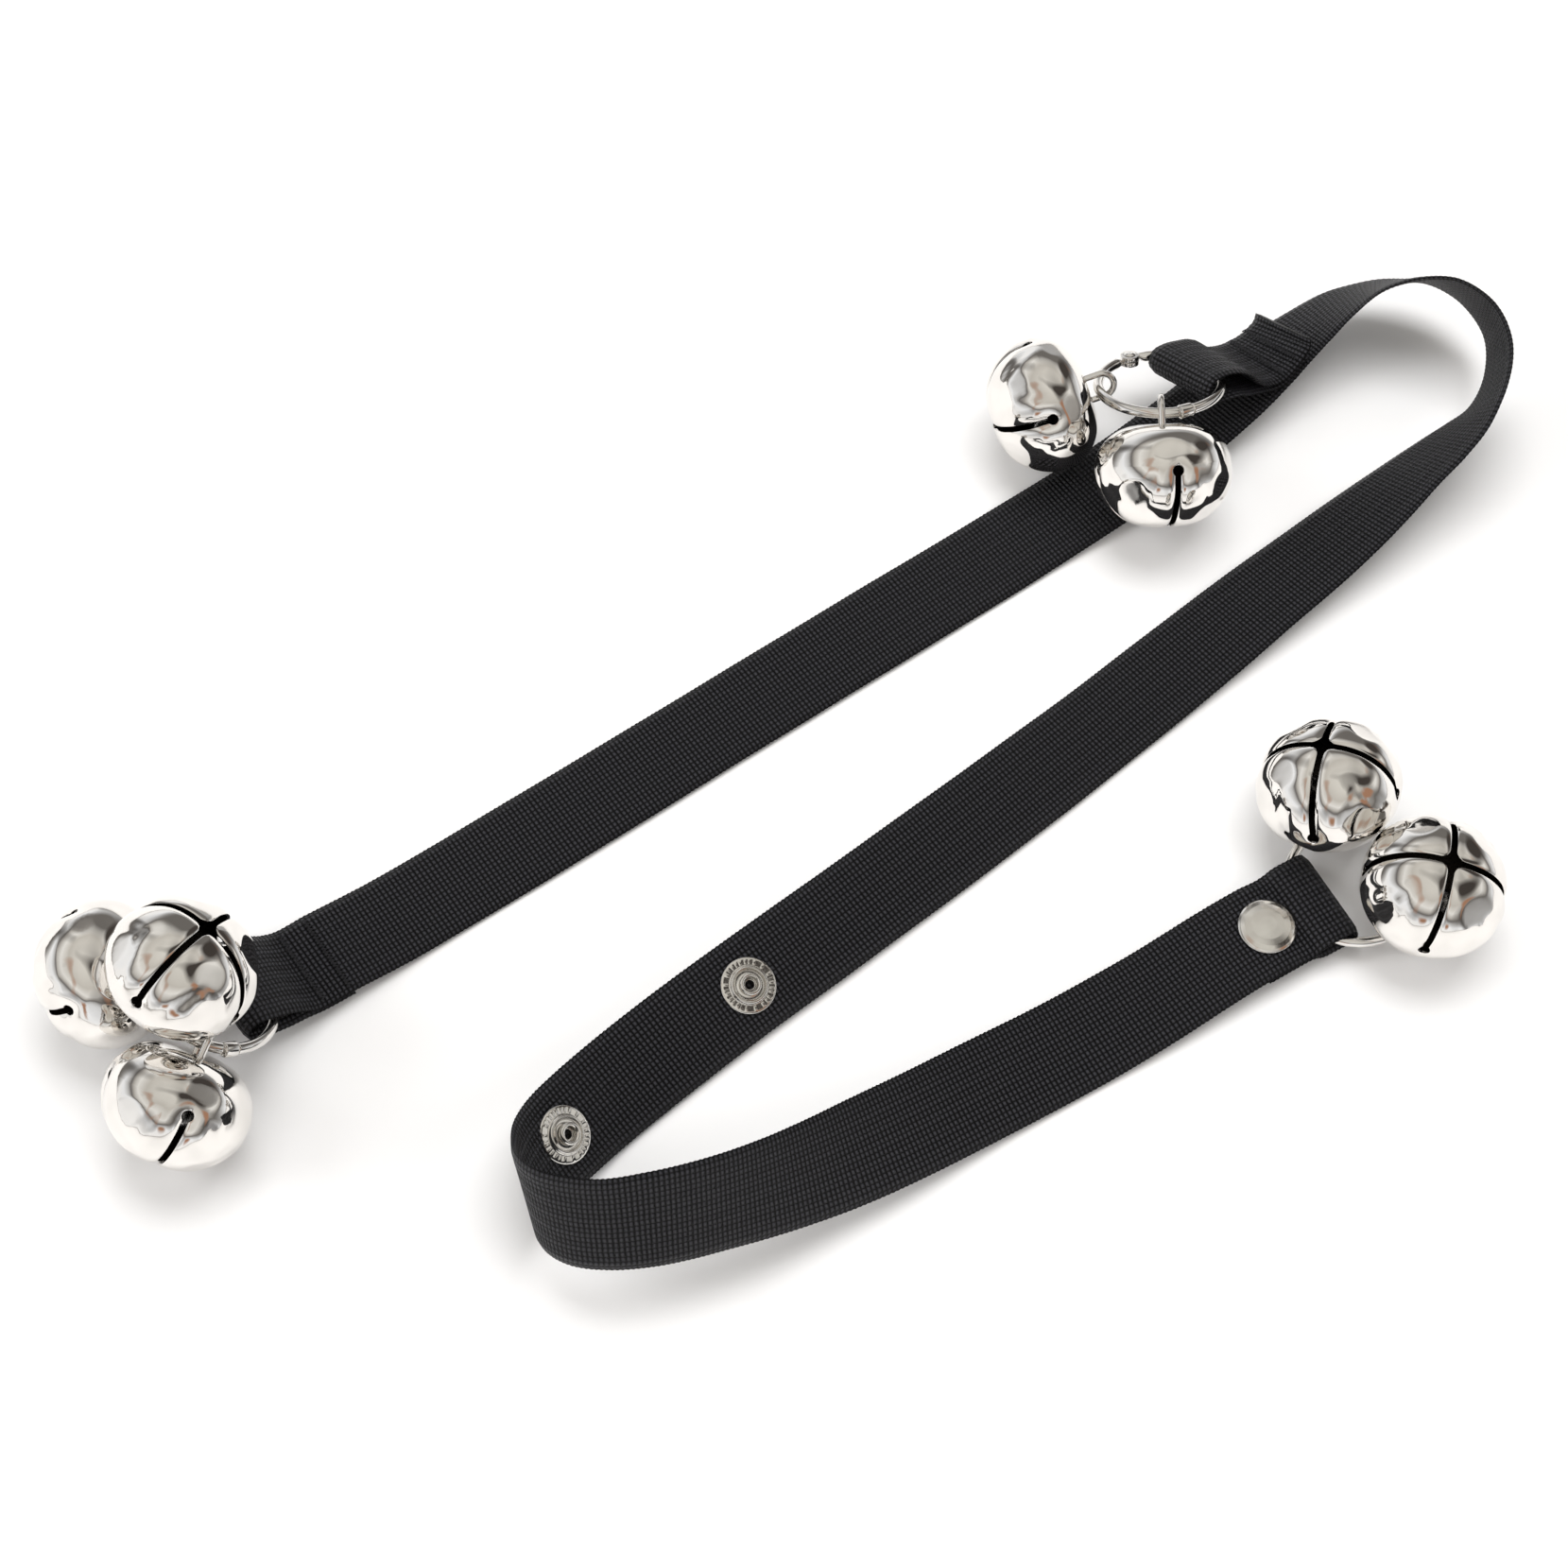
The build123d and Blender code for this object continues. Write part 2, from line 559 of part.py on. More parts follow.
# -------------------------------------------------------------------- build
def build_strap():
    """The strap, its tab and stitches, and the press studs on it."""
    main = main_route()
    frames = frames_along(main)
    snap = frame_at(frames, route_length(main) - SNAP_FROM_END)
    studs = {"a": frame_at(frames, STUD_A_AT), "b": frame_at(frames, STUD_B_AT)}
    strap = ribbon(strap_route())
    for (middle, _, across, face), layers in [(snap, 2), (studs["a"], 1), (studs["b"], 1)]:
        stack = layers * LAYER_STEP - LAYER_GAP
        hole = Plane(origin=middle - face * ((layers - 1) * LAYER_STEP / 2), x_dir=across, z_dir=face)
        strap -= hole * Cylinder(SNAP_HOLE_RADIUS, stack + 2 * SEAT_DEPTH)
        for side in (-1, 1):
            pressed = side * (stack / 2 + FACE_GAP / 2 + SEAT_DEPTH / 2)
            strap -= hole * Pos(0, 0, pressed) * Cylinder(SEAT_RADIUS, SEAT_DEPTH)
    save("strap_webbing", strap)
    save("ring_tab", ribbon(tab_route()))

    surface = WEB_THICK / 2 + BAR_GAP
    end_bars = []
    for distance in END_BARS_AT:
        middle, _, across, face = frame_at(frames, distance)
        end_bars.append(bar_tack(middle, across, face, surface))
        end_bars.append(bar_tack(middle, across, face * -1, surface + LAYER_STEP))
    save("end_stitches", end_bars)
    tab_bars = []
    for distance in TAB_BARS_AT:
        middle, _, across, face = frame_at(frames, distance)
        tab_bars.append(bar_tack(middle, across, face, surface + 2 * LAYER_STEP + TAB_SEAT))
    save("tab_stitches", tab_bars)

    middle, _, across, face = snap
    through = WEB_THICK + LAYER_STEP + 2 * FACE_GAP
    top = middle + face * (WEB_THICK / 2 + FACE_GAP)
    save("snap_cap", Plane(origin=top, x_dir=across, z_dir=face) * snap_cap(through))
    under = top - face * (through + SOCKET_HEIGHT)
    save("snap_socket", Plane(origin=under, x_dir=across, z_dir=face) * snap_socket())
    for name, (middle, _, across, face) in studs.items():
        outer = middle - face * (WEB_THICK / 2 + FACE_GAP)
        save(f"snap_stud_{name}", Plane(origin=outer, x_dir=across, z_dir=face * -1) * snap_stud())
        back = middle + face * (WEB_THICK / 2 + FACE_GAP + POST_THICK)
        save(f"snap_post_{name}", Plane(origin=back, x_dir=across, z_dir=face * -1) * snap_post())


def build_rings():
    for name, (*_, latch) in RINGS.items():
        place = ring_plane(name)
        save(f"ring_{name}_body", place * ring_body(latch))
        save(f"ring_{name}_gate", place * ring_gate(latch))
        save(f"ring_{name}_rivet", place * ring_rivet(latch))


def build_bells():
    shell = bell_shell()
    shank = bell_shank()
    for name, (*_, turn) in BELLS.items():
        place = bell_plane(name)
        drilled = Rot(0, 0, turn) * shell
        for hole in leg_holes():
            drilled -= hole
        save(f"bell_{name}_shell", place * drilled)
        save(f"bell_{name}_shank", place * shank)
        save(f"bell_{name}_pellet", Pos(pellet_rest(place)) * Sphere(PELLET_RADIUS))


os.makedirs("parts", exist_ok=True)
build_strap()
build_rings()
build_bells()
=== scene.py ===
"""Looks for the sleigh bells on a webbing strap: woven strap, plated bells, binder rings and press studs.

The layout is kept in millimetres, as in the CAD, and turned into metres when a mesh is made."""
import json
import math

import bpy
import numpy as np
from mathutils import Matrix, Vector


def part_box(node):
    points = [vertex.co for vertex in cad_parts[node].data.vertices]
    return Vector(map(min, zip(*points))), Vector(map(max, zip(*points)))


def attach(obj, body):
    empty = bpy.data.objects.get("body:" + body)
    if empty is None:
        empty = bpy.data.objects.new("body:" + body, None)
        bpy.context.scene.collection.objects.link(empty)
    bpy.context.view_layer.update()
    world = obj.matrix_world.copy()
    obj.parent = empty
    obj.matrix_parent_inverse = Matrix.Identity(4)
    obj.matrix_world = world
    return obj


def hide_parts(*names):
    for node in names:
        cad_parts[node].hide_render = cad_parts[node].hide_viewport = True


MM = 0.001

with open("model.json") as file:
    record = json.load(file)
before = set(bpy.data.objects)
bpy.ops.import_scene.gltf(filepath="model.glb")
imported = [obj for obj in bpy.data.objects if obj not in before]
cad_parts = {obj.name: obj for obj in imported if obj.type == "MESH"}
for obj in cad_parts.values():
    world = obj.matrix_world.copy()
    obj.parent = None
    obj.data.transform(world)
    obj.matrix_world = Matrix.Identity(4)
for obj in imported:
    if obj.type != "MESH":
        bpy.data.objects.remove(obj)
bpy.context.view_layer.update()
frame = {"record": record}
record = frame["record"]

# ------------------------------------------------------------ layout, in millimetres
WEB_WIDTH, WEB_THICK, LAYER_STEP = 25.4, 1.4, 1.5
RIB = 1.257                          # along the strap, from one rib to the next
CORDS = 19.0                         # lengthwise cords across the webbing
STATIONS = [
    (-122.5, -56.3, 5.9, -56, 0), (-114.0, -50.2, 4.2, -56, 0), (-100.0, -40.4, 1.6, -56, 0),
    (-88.0, -32.0, 0.9, -56, 0), (-57.0, -10.6, 0.9, -56, 0), (-9.0, 23.2, 0.9, -55.5, 0),
    (27.0, 48.4, 0.9, -55.5, 0), (63.0, 73.6, 0.9, -55.5, 0), (97.0, 97.8, 3.0, -56, 4),
    (123.6, 119.6, 7.0, -55, 12), (146.6, 138.2, 12.5, -63, 33), (155.3, 143.0, 16.5, -83, 36),
    (162.9, 145.3, 19.5, -99, 41), (170.5, 145.6, 22.5, -112, 47), (175.5, 145.2, 24.0, -117, 50),
    (185.8, 141.3, 25.0, -122, 63), (193.7, 132.4, 23.5, -117, 74), (195.5, 120.6, 21.0, -72, 76),
    (191.1, 108.2, 18.0, -59, 65), (185.6, 101.8, 16.0, -64, 51), (170.3, 89.1, 11.5, -60, 37),
    (156.2, 77.4, 7.8, -56, 25), (143.2, 66.8, 5.2, -53, 17), (127.3, 54.0, 3.4, -52, 11),
    (114.2, 42.9, 2.2, -50, 5), (99.6, 30.6, 1.2, -50, 1), (86.5, 19.3, 1.2, -48, -1),
    (61.4, -2.3, 2.6, -49, -7), (38.1, -21.6, 3.5, -49, -11), (15.2, -40.4, 4.7, -49.5, -15),
    (-20.6, -69.7, 6.4, -48, -23), (-35.4, -82.2, 6.2, -49, -23), (-47.0, -93.6, 7.8, -48, -29),
    (-54.4, -102.8, 11.0, -49.5, -34), (-59.3, -111.6, 15.4, -56, -46), (-60.7, -118.5, 20.0, -68.5, -53),
    (-59.1, -123.1, 23.7, -74, -54), (-55.4, -127.0, 27.0, -78, -54.7), (-49.7, -129.8, 29.5, -83, -54),
    (-41.0, -131.2, 31.2, -85, -53.6), (-30.6, -129.8, 30.8, -87, -50), (-13.4, -123.6, 26.0, -86.5, -47.5),
    (5.0, -114.2, 18.6, -76.5, -39), (26.4, -101.4, 10.9, -65.5, -24), (49.2, -87.2, 4.8, -61, -13),
    (73.9, -72.9, 2.6, -59, -6), (93.6, -61.1, 3.4, -58.5, -1), (108.9, -51.5, 5.0, -58.5, 0),
    (121.2, -44.2, 5.8, -60, 0), (127.2, -40.9, 5.8, -60, 0),
]
END_LOOP = [(3.0, 1.3), (6.5, 2.5), (10.0, 3.2), (14.0, 3.6), (17.3, 3.7)]
SNAP_LOOP = [(0.6, 1.1), (1.8, 2.2), (3.8, 3.0), (7.0, 3.1), (9.6, 3.1)]
TAB_MIDLINE = [
    (122.5, 121.5, 15.1, -58, 20, 1.3), (119.2, 119.6, 18.6, -58, 22, 2.7),
    (115.6, 117.4, 21.0, -57, 24, 3.5), (110.2, 114.2, 22.9, -55, 24, 3.6),
]
TAB_SEWN = (309.0, 332.0)
TAB_SEAT = 0.15
TAB_HEM = 4.0
END_BARS_AT, TAB_BARS_AT = (2.2, 9.6), (315.0, 320.5)
BAR_HALF, BAR_STITCHES, THREAD_RADIUS = 11.0, 46, 0.15
SNAP_FROM_END, STUDS_AT = 6.6, {"a": 678.0, "b": 739.0}
RINGS = {
    "end": ((-139.4, -68.6, 19.6), 31, 38, 2, 95),
    "mid": ((101.8, 109.8, 24.5), 37, 13, 23.5, 100),
    "far": ((144.6, -31.2, 5.3), 210, 0, 0, 75),
}
BELLS = {
    "end_rear": ("end", 228, (-0.83, 0.02, -0.535), 8),
    "end_front": ("end", 174, (0.51, 0.32, 0.79), 19),
    "end_lower": ("end", 124, (-0.41, -0.83, -0.42), 1),
    "mid_left": ("mid", 215, (-0.92, -0.22, -0.25), 13),
    "mid_right": ("mid", 128, (0.05, -0.78, -0.59), 79),
    "far_upper": ("far", 108, (-0.23, 0.27, 0.94), 58),
    "far_right": ("far", 240, (0.12, -0.02, 0.99), 17),
}
RING_RADIUS, WIRE = 16.6, 1.4

eye_mount = [m for m in record["mounts"] if m["name"] == "ring_far_eye"][0]
ORIGIN = Vector(eye_mount["pos_m"]) / MM - Vector(RINGS["far"][0])


# ------------------------------------------------------------ helpers
def metres(points):
    return [tuple((Vector(p) + ORIGIN) * MM) for p in points]


def mesh_object(name, verts, faces, uvs=None, smooth=True):
    """A mesh from points in layout millimetres. uvs is one pair per vertex."""
    data = bpy.data.meshes.new(name)
    data.from_pydata(metres(verts), [], faces)
    data.validate()
    if smooth:
        data.polygons.foreach_set("use_smooth", [True] * len(data.polygons))
    if uvs is not None:
        layer = data.uv_layers.new(name="UVMap")
        for loop in data.loops:
            layer.data[loop.index].uv = uvs[loop.vertex_index]
    made = bpy.data.objects.new(name, data)
    bpy.context.scene.collection.objects.link(made)
    return made


class Build:
    """Collects parts of one mesh, in layout millimetres."""

    def __init__(self):
        self.verts, self.faces = [], []

    def add(self, verts, faces):
        start = len(self.verts)
        self.verts += [tuple(v) for v in verts]
        self.faces += [[i + start for i in f] for f in faces]

    def grid(self, rows, close_rows=False, close_columns=True, caps=True):
        """Rows of points joined into quads, each row a closed or open line."""
        n = len(rows[0])
        faces = []
        last = len(rows) if close_rows else len(rows) - 1
        for i in range(last):
            j = (i + 1) % len(rows)
            for k in range(n if close_columns else n - 1):
                m = (k + 1) % n
                faces.append([i * n + k, i * n + m, j * n + m, j * n + k])
        if caps and close_columns and not close_rows:
            faces.append(list(range(n))[::-1])
            faces.append([(len(rows) - 1) * n + k for k in range(n)])
        self.add([p for row in rows for p in row], faces)

    def tube(self, points, radii, sides=14, close=False):
        """A round tube along points, one radius each."""
        pts = [Vector(p) for p in points]
        rows = []
        normal = None
        for i, p in enumerate(pts):
            a = pts[i - 1] if i or close else pts[0]
            b = pts[(i + 1) % len(pts)] if i + 1 < len(pts) or close else pts[-1]
            along = (b - a).normalized()
            if normal is None:
                normal = along.orthogonal().normalized()
            normal = (normal - along * normal.dot(along)).normalized()
            side = along.cross(normal)
            turns = [2 * math.pi * k / sides for k in range(sides)]
            rows.append([p + (normal * math.cos(t) + side * math.sin(t)) * radii[i] for t in turns])
        self.grid(rows, close_rows=close)

    def lathe(self, place, profile, sides=64, relief=None):
        """A closed outline of (radius, height) turned about place's Z."""
        rows = []
        for k in range(sides):
            turn = 2 * math.pi * k / sides
            row = []
            for r, h in profile:
                if relief:
                    h += relief(r, h, turn)
                row.append(place @ Vector((r * math.cos(turn), r * math.sin(turn), h)))
            rows.append(row)
        self.grid(rows, close_rows=True)

    def made(self, name):
        return mesh_object(name, self.verts, self.faces)


def rounded(profile, radius=0.15, steps=3):
    """Softens the corners of a closed outline."""
    out = []
    n = len(profile)
    for i in range(n):
        a, b, c = (Vector(profile[j % n] + (0,)) for j in (i - 1, i, i + 1))
        before, after = a - b, c - b
        if before.length < 1e-6 or after.length < 1e-6 or b.x < 1e-6:
            out.append(profile[i])
            continue
        cut = min(radius, before.length * 0.4, after.length * 0.4)
        start, end = b + before.normalized() * cut, b + after.normalized() * cut
        for k in range(steps + 1):
            t = k / steps
            p = start * (1 - t) ** 2 + b * (2 * t * (1 - t)) + end * t ** 2
            out.append((p.x, p.y))
    return out


def plane(origin, x_dir, z_dir):
    z = Vector(z_dir).normalized()
    x = Vector(x_dir)
    x = (x - z * x.dot(z)).normalized()
    y = z.cross(x)
    rows = [(x[i], y[i], z[i], origin[i]) for i in range(3)]
    return Matrix(rows + [(0, 0, 0, 1)])


# ------------------------------------------------------------ strap route, as in the CAD
def width_direction(heading, tilt):
    h, t = math.radians(heading), math.radians(tilt)
    return Vector((math.cos(h) * math.cos(t), math.sin(h) * math.cos(t), math.sin(t)))


def smooth(before, start, end, after, share, spans):
    back, here, ahead = spans
    early, late = back + here, here + ahead
    leave = (start - before) * (here / (back * early)) + (end - start) * (back / (here * early))
    arrive = (end - start) * (ahead / (here * late)) + (after - end) * (here / (ahead * late))
    s2 = share * share
    s3 = s2 * share
    point = start * (2 * s3 - 3 * s2 + 1) + end * (3 * s2 - 2 * s3)
    return point + leave * (here * (s3 - 2 * s2 + share)) + arrive * (here * (s3 - s2))


def through(knots, step):
    """Points and width directions about a step apart, through (point, across) knots."""
    points = [k[0] for k in knots]
    widths = [k[1] for k in knots]
    points = [points[0] * 2 - points[1]] + points + [points[-1] * 2 - points[-2]]
    widths = [widths[0]] + widths + [widths[-1]]
    gaps = [(b - a).length for a, b in zip(points, points[1:])]
    route = []
    for i in range(1, len(points) - 2):
        count = max(1, round(gaps[i] / step))
        spans = gaps[i - 1:i + 2]
        for k in range(count):
            middle = smooth(*points[i - 1:i + 3], k / count, spans)
            across = smooth(*widths[i - 1:i + 3], k / count, spans)
            route.append((middle, across.normalized()))
    route.append((points[-2], widths[-2]))
    return route


def frames_along(route):
    frames = []
    for i, (middle, across) in enumerate(route):
        forward = (route[min(len(route) - 1, i + 1)][0] - route[max(0, i - 1)][0]).normalized()
        across = (across - forward * across.dot(forward)).normalized()
        frames.append((middle, forward, across, across.cross(forward)))
    return frames


def frame_at(frames, distance):
    run = 0.0
    for (a, _, wa, _), (b, _, wb, _) in zip(frames, frames[1:]):
        step = (b - a).length
        if run + step >= distance:
            share = (distance - run) / step
            forward = (b - a).normalized()
            across = wa.lerp(wb, share)
            across = (across - forward * across.dot(forward)).normalized()
            return a.lerp(b, share), forward, across, across.cross(forward)
        run += step
    return frames[-1]


def route_length(route):
    return sum((b[0] - a[0]).length for a, b in zip(route, route[1:]))


def loop_knots(root, outward, across, face, profile):
    near = [(root + outward * u - face * g, across) for u, g in profile]
    centre, radius = profile[-1]
    crown = []
    for turn in range(-60, 61, 30):
        reach = centre + radius * math.cos(math.radians(turn))
        crown.append((root + outward * reach + face * (radius * math.sin(math.radians(turn))), across))
    return near + crown + [(root + outward * u + face * g, across) for u, g in reversed(profile)]


def pitched(direction, across, pitch):
    level = Vector((direction.x, direction.y, 0)).normalized()
    rise = math.radians(pitch)
    outward = (level * math.cos(rise) + Vector((0, 0, math.sin(rise)))).normalized()
    across = (across - outward * across.dot(outward)).normalized()
    face = outward.cross(across)
    return outward, across, face if face.z > 0 else face * -1


def under_layer(frames, length):
    points, run, last = [], 0.0, frames[0][0]
    for middle, _, across, face in frames:
        run += (middle - last).length
        last = middle
        if run > length:
            break
        points.append((middle - face * LAYER_STEP, across))
    return points


main_knots = through([(Vector(s[:3]), width_direction(s[3], s[4])) for s in STATIONS], 9.0)
main_frames = frames_along(main_knots)
MAIN_LENGTH = route_length(main_knots)


def strap_knots():
    start, forward, across, face = main_frames[0]
    outward, start_across, start_face = pitched(forward * -1, across, 30.0)
    first = under_layer(main_frames, 13.0)[::-1]
    first += loop_knots(start - face * (LAYER_STEP / 2), outward, start_across, start_face, END_LOOP)
    end, forward, across, face = main_frames[-1]
    outward, end_across, end_face = pitched(forward, across, 0.0)
    last = loop_knots(end - face * (LAYER_STEP / 2), outward, end_across, end_face, SNAP_LOOP)[::-1]
    back = [(m, f * -1, a, c) for m, f, a, c in main_frames[::-1]]
    return first + list(main_knots) + last + under_layer(back, 18.0)


def tab_knots():
    lower, upper, run = [], [], 0.0
    for (last, *_), (middle, _, across, face) in zip(main_frames, main_frames[1:]):
        run += (middle - last).length
        if TAB_SEWN[0] <= run <= TAB_SEWN[1]:
            lower.insert(0, (middle + face * (LAYER_STEP + TAB_SEAT), across))
            upper.insert(0, (middle + face * (2 * LAYER_STEP + TAB_SEAT), across, face))
    points = [(lower[-1][0] + upper[-1][0]) * 0.5] + [Vector(m[:3]) for m in TAB_MIDLINE]
    end, across_end, face_end = upper[0]
    back = (upper[0][0] - upper[1][0]).normalized()
    upper = [u[:2] for u in upper]
    for i, (*_, heading, tilt, half) in enumerate(TAB_MIDLINE, 1):
        middle = points[i]
        forward = (points[min(i + 1, len(points) - 1)] - points[i - 1]).normalized()
        across = width_direction(heading, tilt)
        across = (across - forward * across.dot(forward)).normalized()
        face = across.cross(forward) * -1
        lower.append((middle - face * half, across))
        upper.append((middle + face * half, across))
    crown = []
    for turn in map(math.radians, range(-60, 61, 30)):
        place = middle + forward * (half * math.cos(turn)) + face * (half * math.sin(turn))
        crown.append((place, across))
    hem = [(end + back * (TAB_HEM * 0.45) + face_end * (TAB_HEM * 0.15), across_end),
           (end + back * (TAB_HEM * 0.8) + face_end * (TAB_HEM * 0.6), across_end)]
    return lower + crown + upper[::-1] + hem


# ------------------------------------------------------------ materials
def node_tree(name):
    material = bpy.data.materials.new(name)
    material.use_nodes = True
    tree = material.node_tree
    shader = tree.nodes["Principled BSDF"]
    return material, tree, shader


def math_node(tree, operation, a, b=None):
    node = tree.nodes.new("ShaderNodeMath")
    node.operation = operation
    for i, value in enumerate((a, b)):
        if value is None:
            continue
        if hasattr(value, "is_output"):
            tree.links.new(value, node.inputs[i])
        else:
            node.inputs[i].default_value = value
    return node.outputs[0]


def webbing_material():
    """Black nylon webbing: a grid of cross ribs and lengthwise cords, with painted highlight on the rib tops and
    painted shade in the gaps between them.
    """
    material, tree, shader = node_tree("webbing_nylon")
    uv = tree.nodes.new("ShaderNodeUVMap")
    uv.uv_map = "UVMap"
    split = tree.nodes.new("ShaderNodeSeparateXYZ")
    tree.links.new(uv.outputs[0], split.inputs[0])
    along, across = split.outputs[0], split.outputs[1]
    cord = math_node(tree, "MULTIPLY", across, CORDS)
    rib = math_node(tree, "ABSOLUTE", math_node(tree, "SINE", math_node(tree, "MULTIPLY", along, math.pi)))
    dome = math_node(tree, "ABSOLUTE", math_node(tree, "SINE", math_node(tree, "MULTIPLY", cord, math.pi)))
    height = math_node(tree, "MULTIPLY", rib, math_node(tree, "POWER", dome, 0.6))
    strand = tree.nodes.new("ShaderNodeTexNoise")
    strand.inputs["Scale"].default_value = 1.0
    strand.inputs["Detail"].default_value = 3.0
    stretch = tree.nodes.new("ShaderNodeCombineXYZ")
    tree.links.new(math_node(tree, "MULTIPLY", along, 1.6), stretch.inputs[0])
    tree.links.new(math_node(tree, "MULTIPLY", across, 120.0), stretch.inputs[1])
    tree.links.new(stretch.outputs[0], strand.inputs["Vector"])
    total = math_node(tree, "ADD", height, math_node(tree, "MULTIPLY", strand.outputs[0], 0.2))
    bump = tree.nodes.new("ShaderNodeBump")
    bump.inputs["Strength"].default_value = 1.0
    bump.inputs["Distance"].default_value = 0.0006
    tree.links.new(total, bump.inputs["Height"])
    tree.links.new(bump.outputs[0], shader.inputs["Normal"])
    # Colour follows the rib height: the lighter rib tops are a painted highlight and the near-black gaps are
    # painted shade; the strand noise adds fibre tone.
    ramp = tree.nodes.new("ShaderNodeValToRGB")
    ramp.color_ramp.elements[0].position = 0.3
    ramp.color_ramp.elements[0].color = (0.0006, 0.0006, 0.0008, 1)
    ramp.color_ramp.elements[1].position = 1.0
    ramp.color_ramp.elements[1].color = (0.038, 0.038, 0.044, 1)
    tree.links.new(total, ramp.inputs[0])
    tree.links.new(ramp.outputs[0], shader.inputs["Base Color"])
    shader.inputs["Roughness"].default_value = 0.5
    shader.inputs["Specular IOR Level"].default_value = 0.3
    return material


def thread_material():
    material, tree, shader = node_tree("black_thread")
    twist = tree.nodes.new("ShaderNodeTexNoise")
    twist.inputs["Scale"].default_value = 2600.0
    place = tree.nodes.new("ShaderNodeTexCoord")
    tree.links.new(place.outputs["Object"], twist.inputs["Vector"])
    ramp = tree.nodes.new("ShaderNodeValToRGB")
    ramp.color_ramp.elements[0].color = (0.004, 0.004, 0.005, 1)
    ramp.color_ramp.elements[1].color = (0.022, 0.022, 0.026, 1)
    tree.links.new(twist.outputs[0], ramp.inputs[0])
    tree.links.new(ramp.outputs[0], shader.inputs["Base Color"])
    shader.inputs["Roughness"].default_value = 0.5
    return material


def metal_material(name, color, roughness, dents, scratch):
    """Bright plating: soft dents, faint wear and fine scratches."""
    material, tree, shader = node_tree(name)
    place = tree.nodes.new("ShaderNodeTexCoord")
    soft = tree.nodes.new("ShaderNodeTexNoise")
    soft.inputs["Scale"].default_value = 150.0
    soft.inputs["Detail"].default_value = 1.5
    tree.links.new(place.outputs["Object"], soft.inputs["Vector"])
    fine = tree.nodes.new("ShaderNodeTexNoise")
    fine.inputs["Scale"].default_value = 1900.0
    fine.inputs["Detail"].default_value = 4.0
    tree.links.new(place.outputs["Object"], fine.inputs["Vector"])
    total = math_node(tree, "ADD", soft.outputs[0], math_node(tree, "MULTIPLY", fine.outputs[0], scratch))
    bump = tree.nodes.new("ShaderNodeBump")
    bump.inputs["Strength"].default_value = dents
    bump.inputs["Distance"].default_value = 0.0006
    tree.links.new(total, bump.inputs["Height"])
    tree.links.new(bump.outputs[0], shader.inputs["Normal"])
    ramp = tree.nodes.new("ShaderNodeValToRGB")
    ramp.color_ramp.elements[0].position = 0.35
    ramp.color_ramp.elements[0].color = tuple(c * 0.93 for c in color) + (1,)
    ramp.color_ramp.elements[1].position = 0.6
    ramp.color_ramp.elements[1].color = color + (1,)
    tree.links.new(soft.outputs[0], ramp.inputs[0])
    tree.links.new(ramp.outputs[0], shader.inputs["Base Color"])
    rough = tree.nodes.new("ShaderNodeMapRange")
    rough.inputs["From Min"].default_value = 0.3
    rough.inputs["From Max"].default_value = 0.75
    rough.inputs["To Min"].default_value = roughness * 0.6
    rough.inputs["To Max"].default_value = roughness * 1.6
    tree.links.new(fine.outputs[0], rough.inputs["Value"])
    tree.links.new(rough.outputs[0], shader.inputs["Roughness"])
    shader.inputs["Metallic"].default_value = 1.0
    return material


WEBBING = webbing_material()
THREAD = thread_material()
NICKEL = metal_material("bell_nickel", (0.86, 0.835, 0.80), 0.035, 0.10, 0.02)
RING_NICKEL = metal_material("ring_nickel", (0.80, 0.78, 0.75), 0.10, 0.06, 0.03)
SNAP_NICKEL = metal_material("snap_nickel", (0.82, 0.80, 0.76), 0.16, 0.012, 0.03)
# The bell's inner wall is near-black: painted shade for the hollow inside the bell, not the colour of the metal.
PAINTED_SHADE_INSIDE = metal_material("shell_inside_painted_shade", (0.05, 0.042, 0.036), 0.45, 0.1, 0.05)
STEEL = metal_material("pellet_steel", (0.42, 0.41, 0.40), 0.30, 0.2, 0.1)


MATERIALS = {"webbing": WEBBING, "thread": THREAD, "snap_nickel": SNAP_NICKEL, "bell_nickel": NICKEL,
             "ring_nickel": RING_NICKEL, "pellet_steel": STEEL}


def finish_piece(piece, body, node, slot):
    """Puts a piece on its body, in the place of its CAD node."""
    if not piece.data.materials:
        piece.data.materials.append(MATERIALS[slot])
    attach(piece, body)
    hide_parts(node)
    return piece


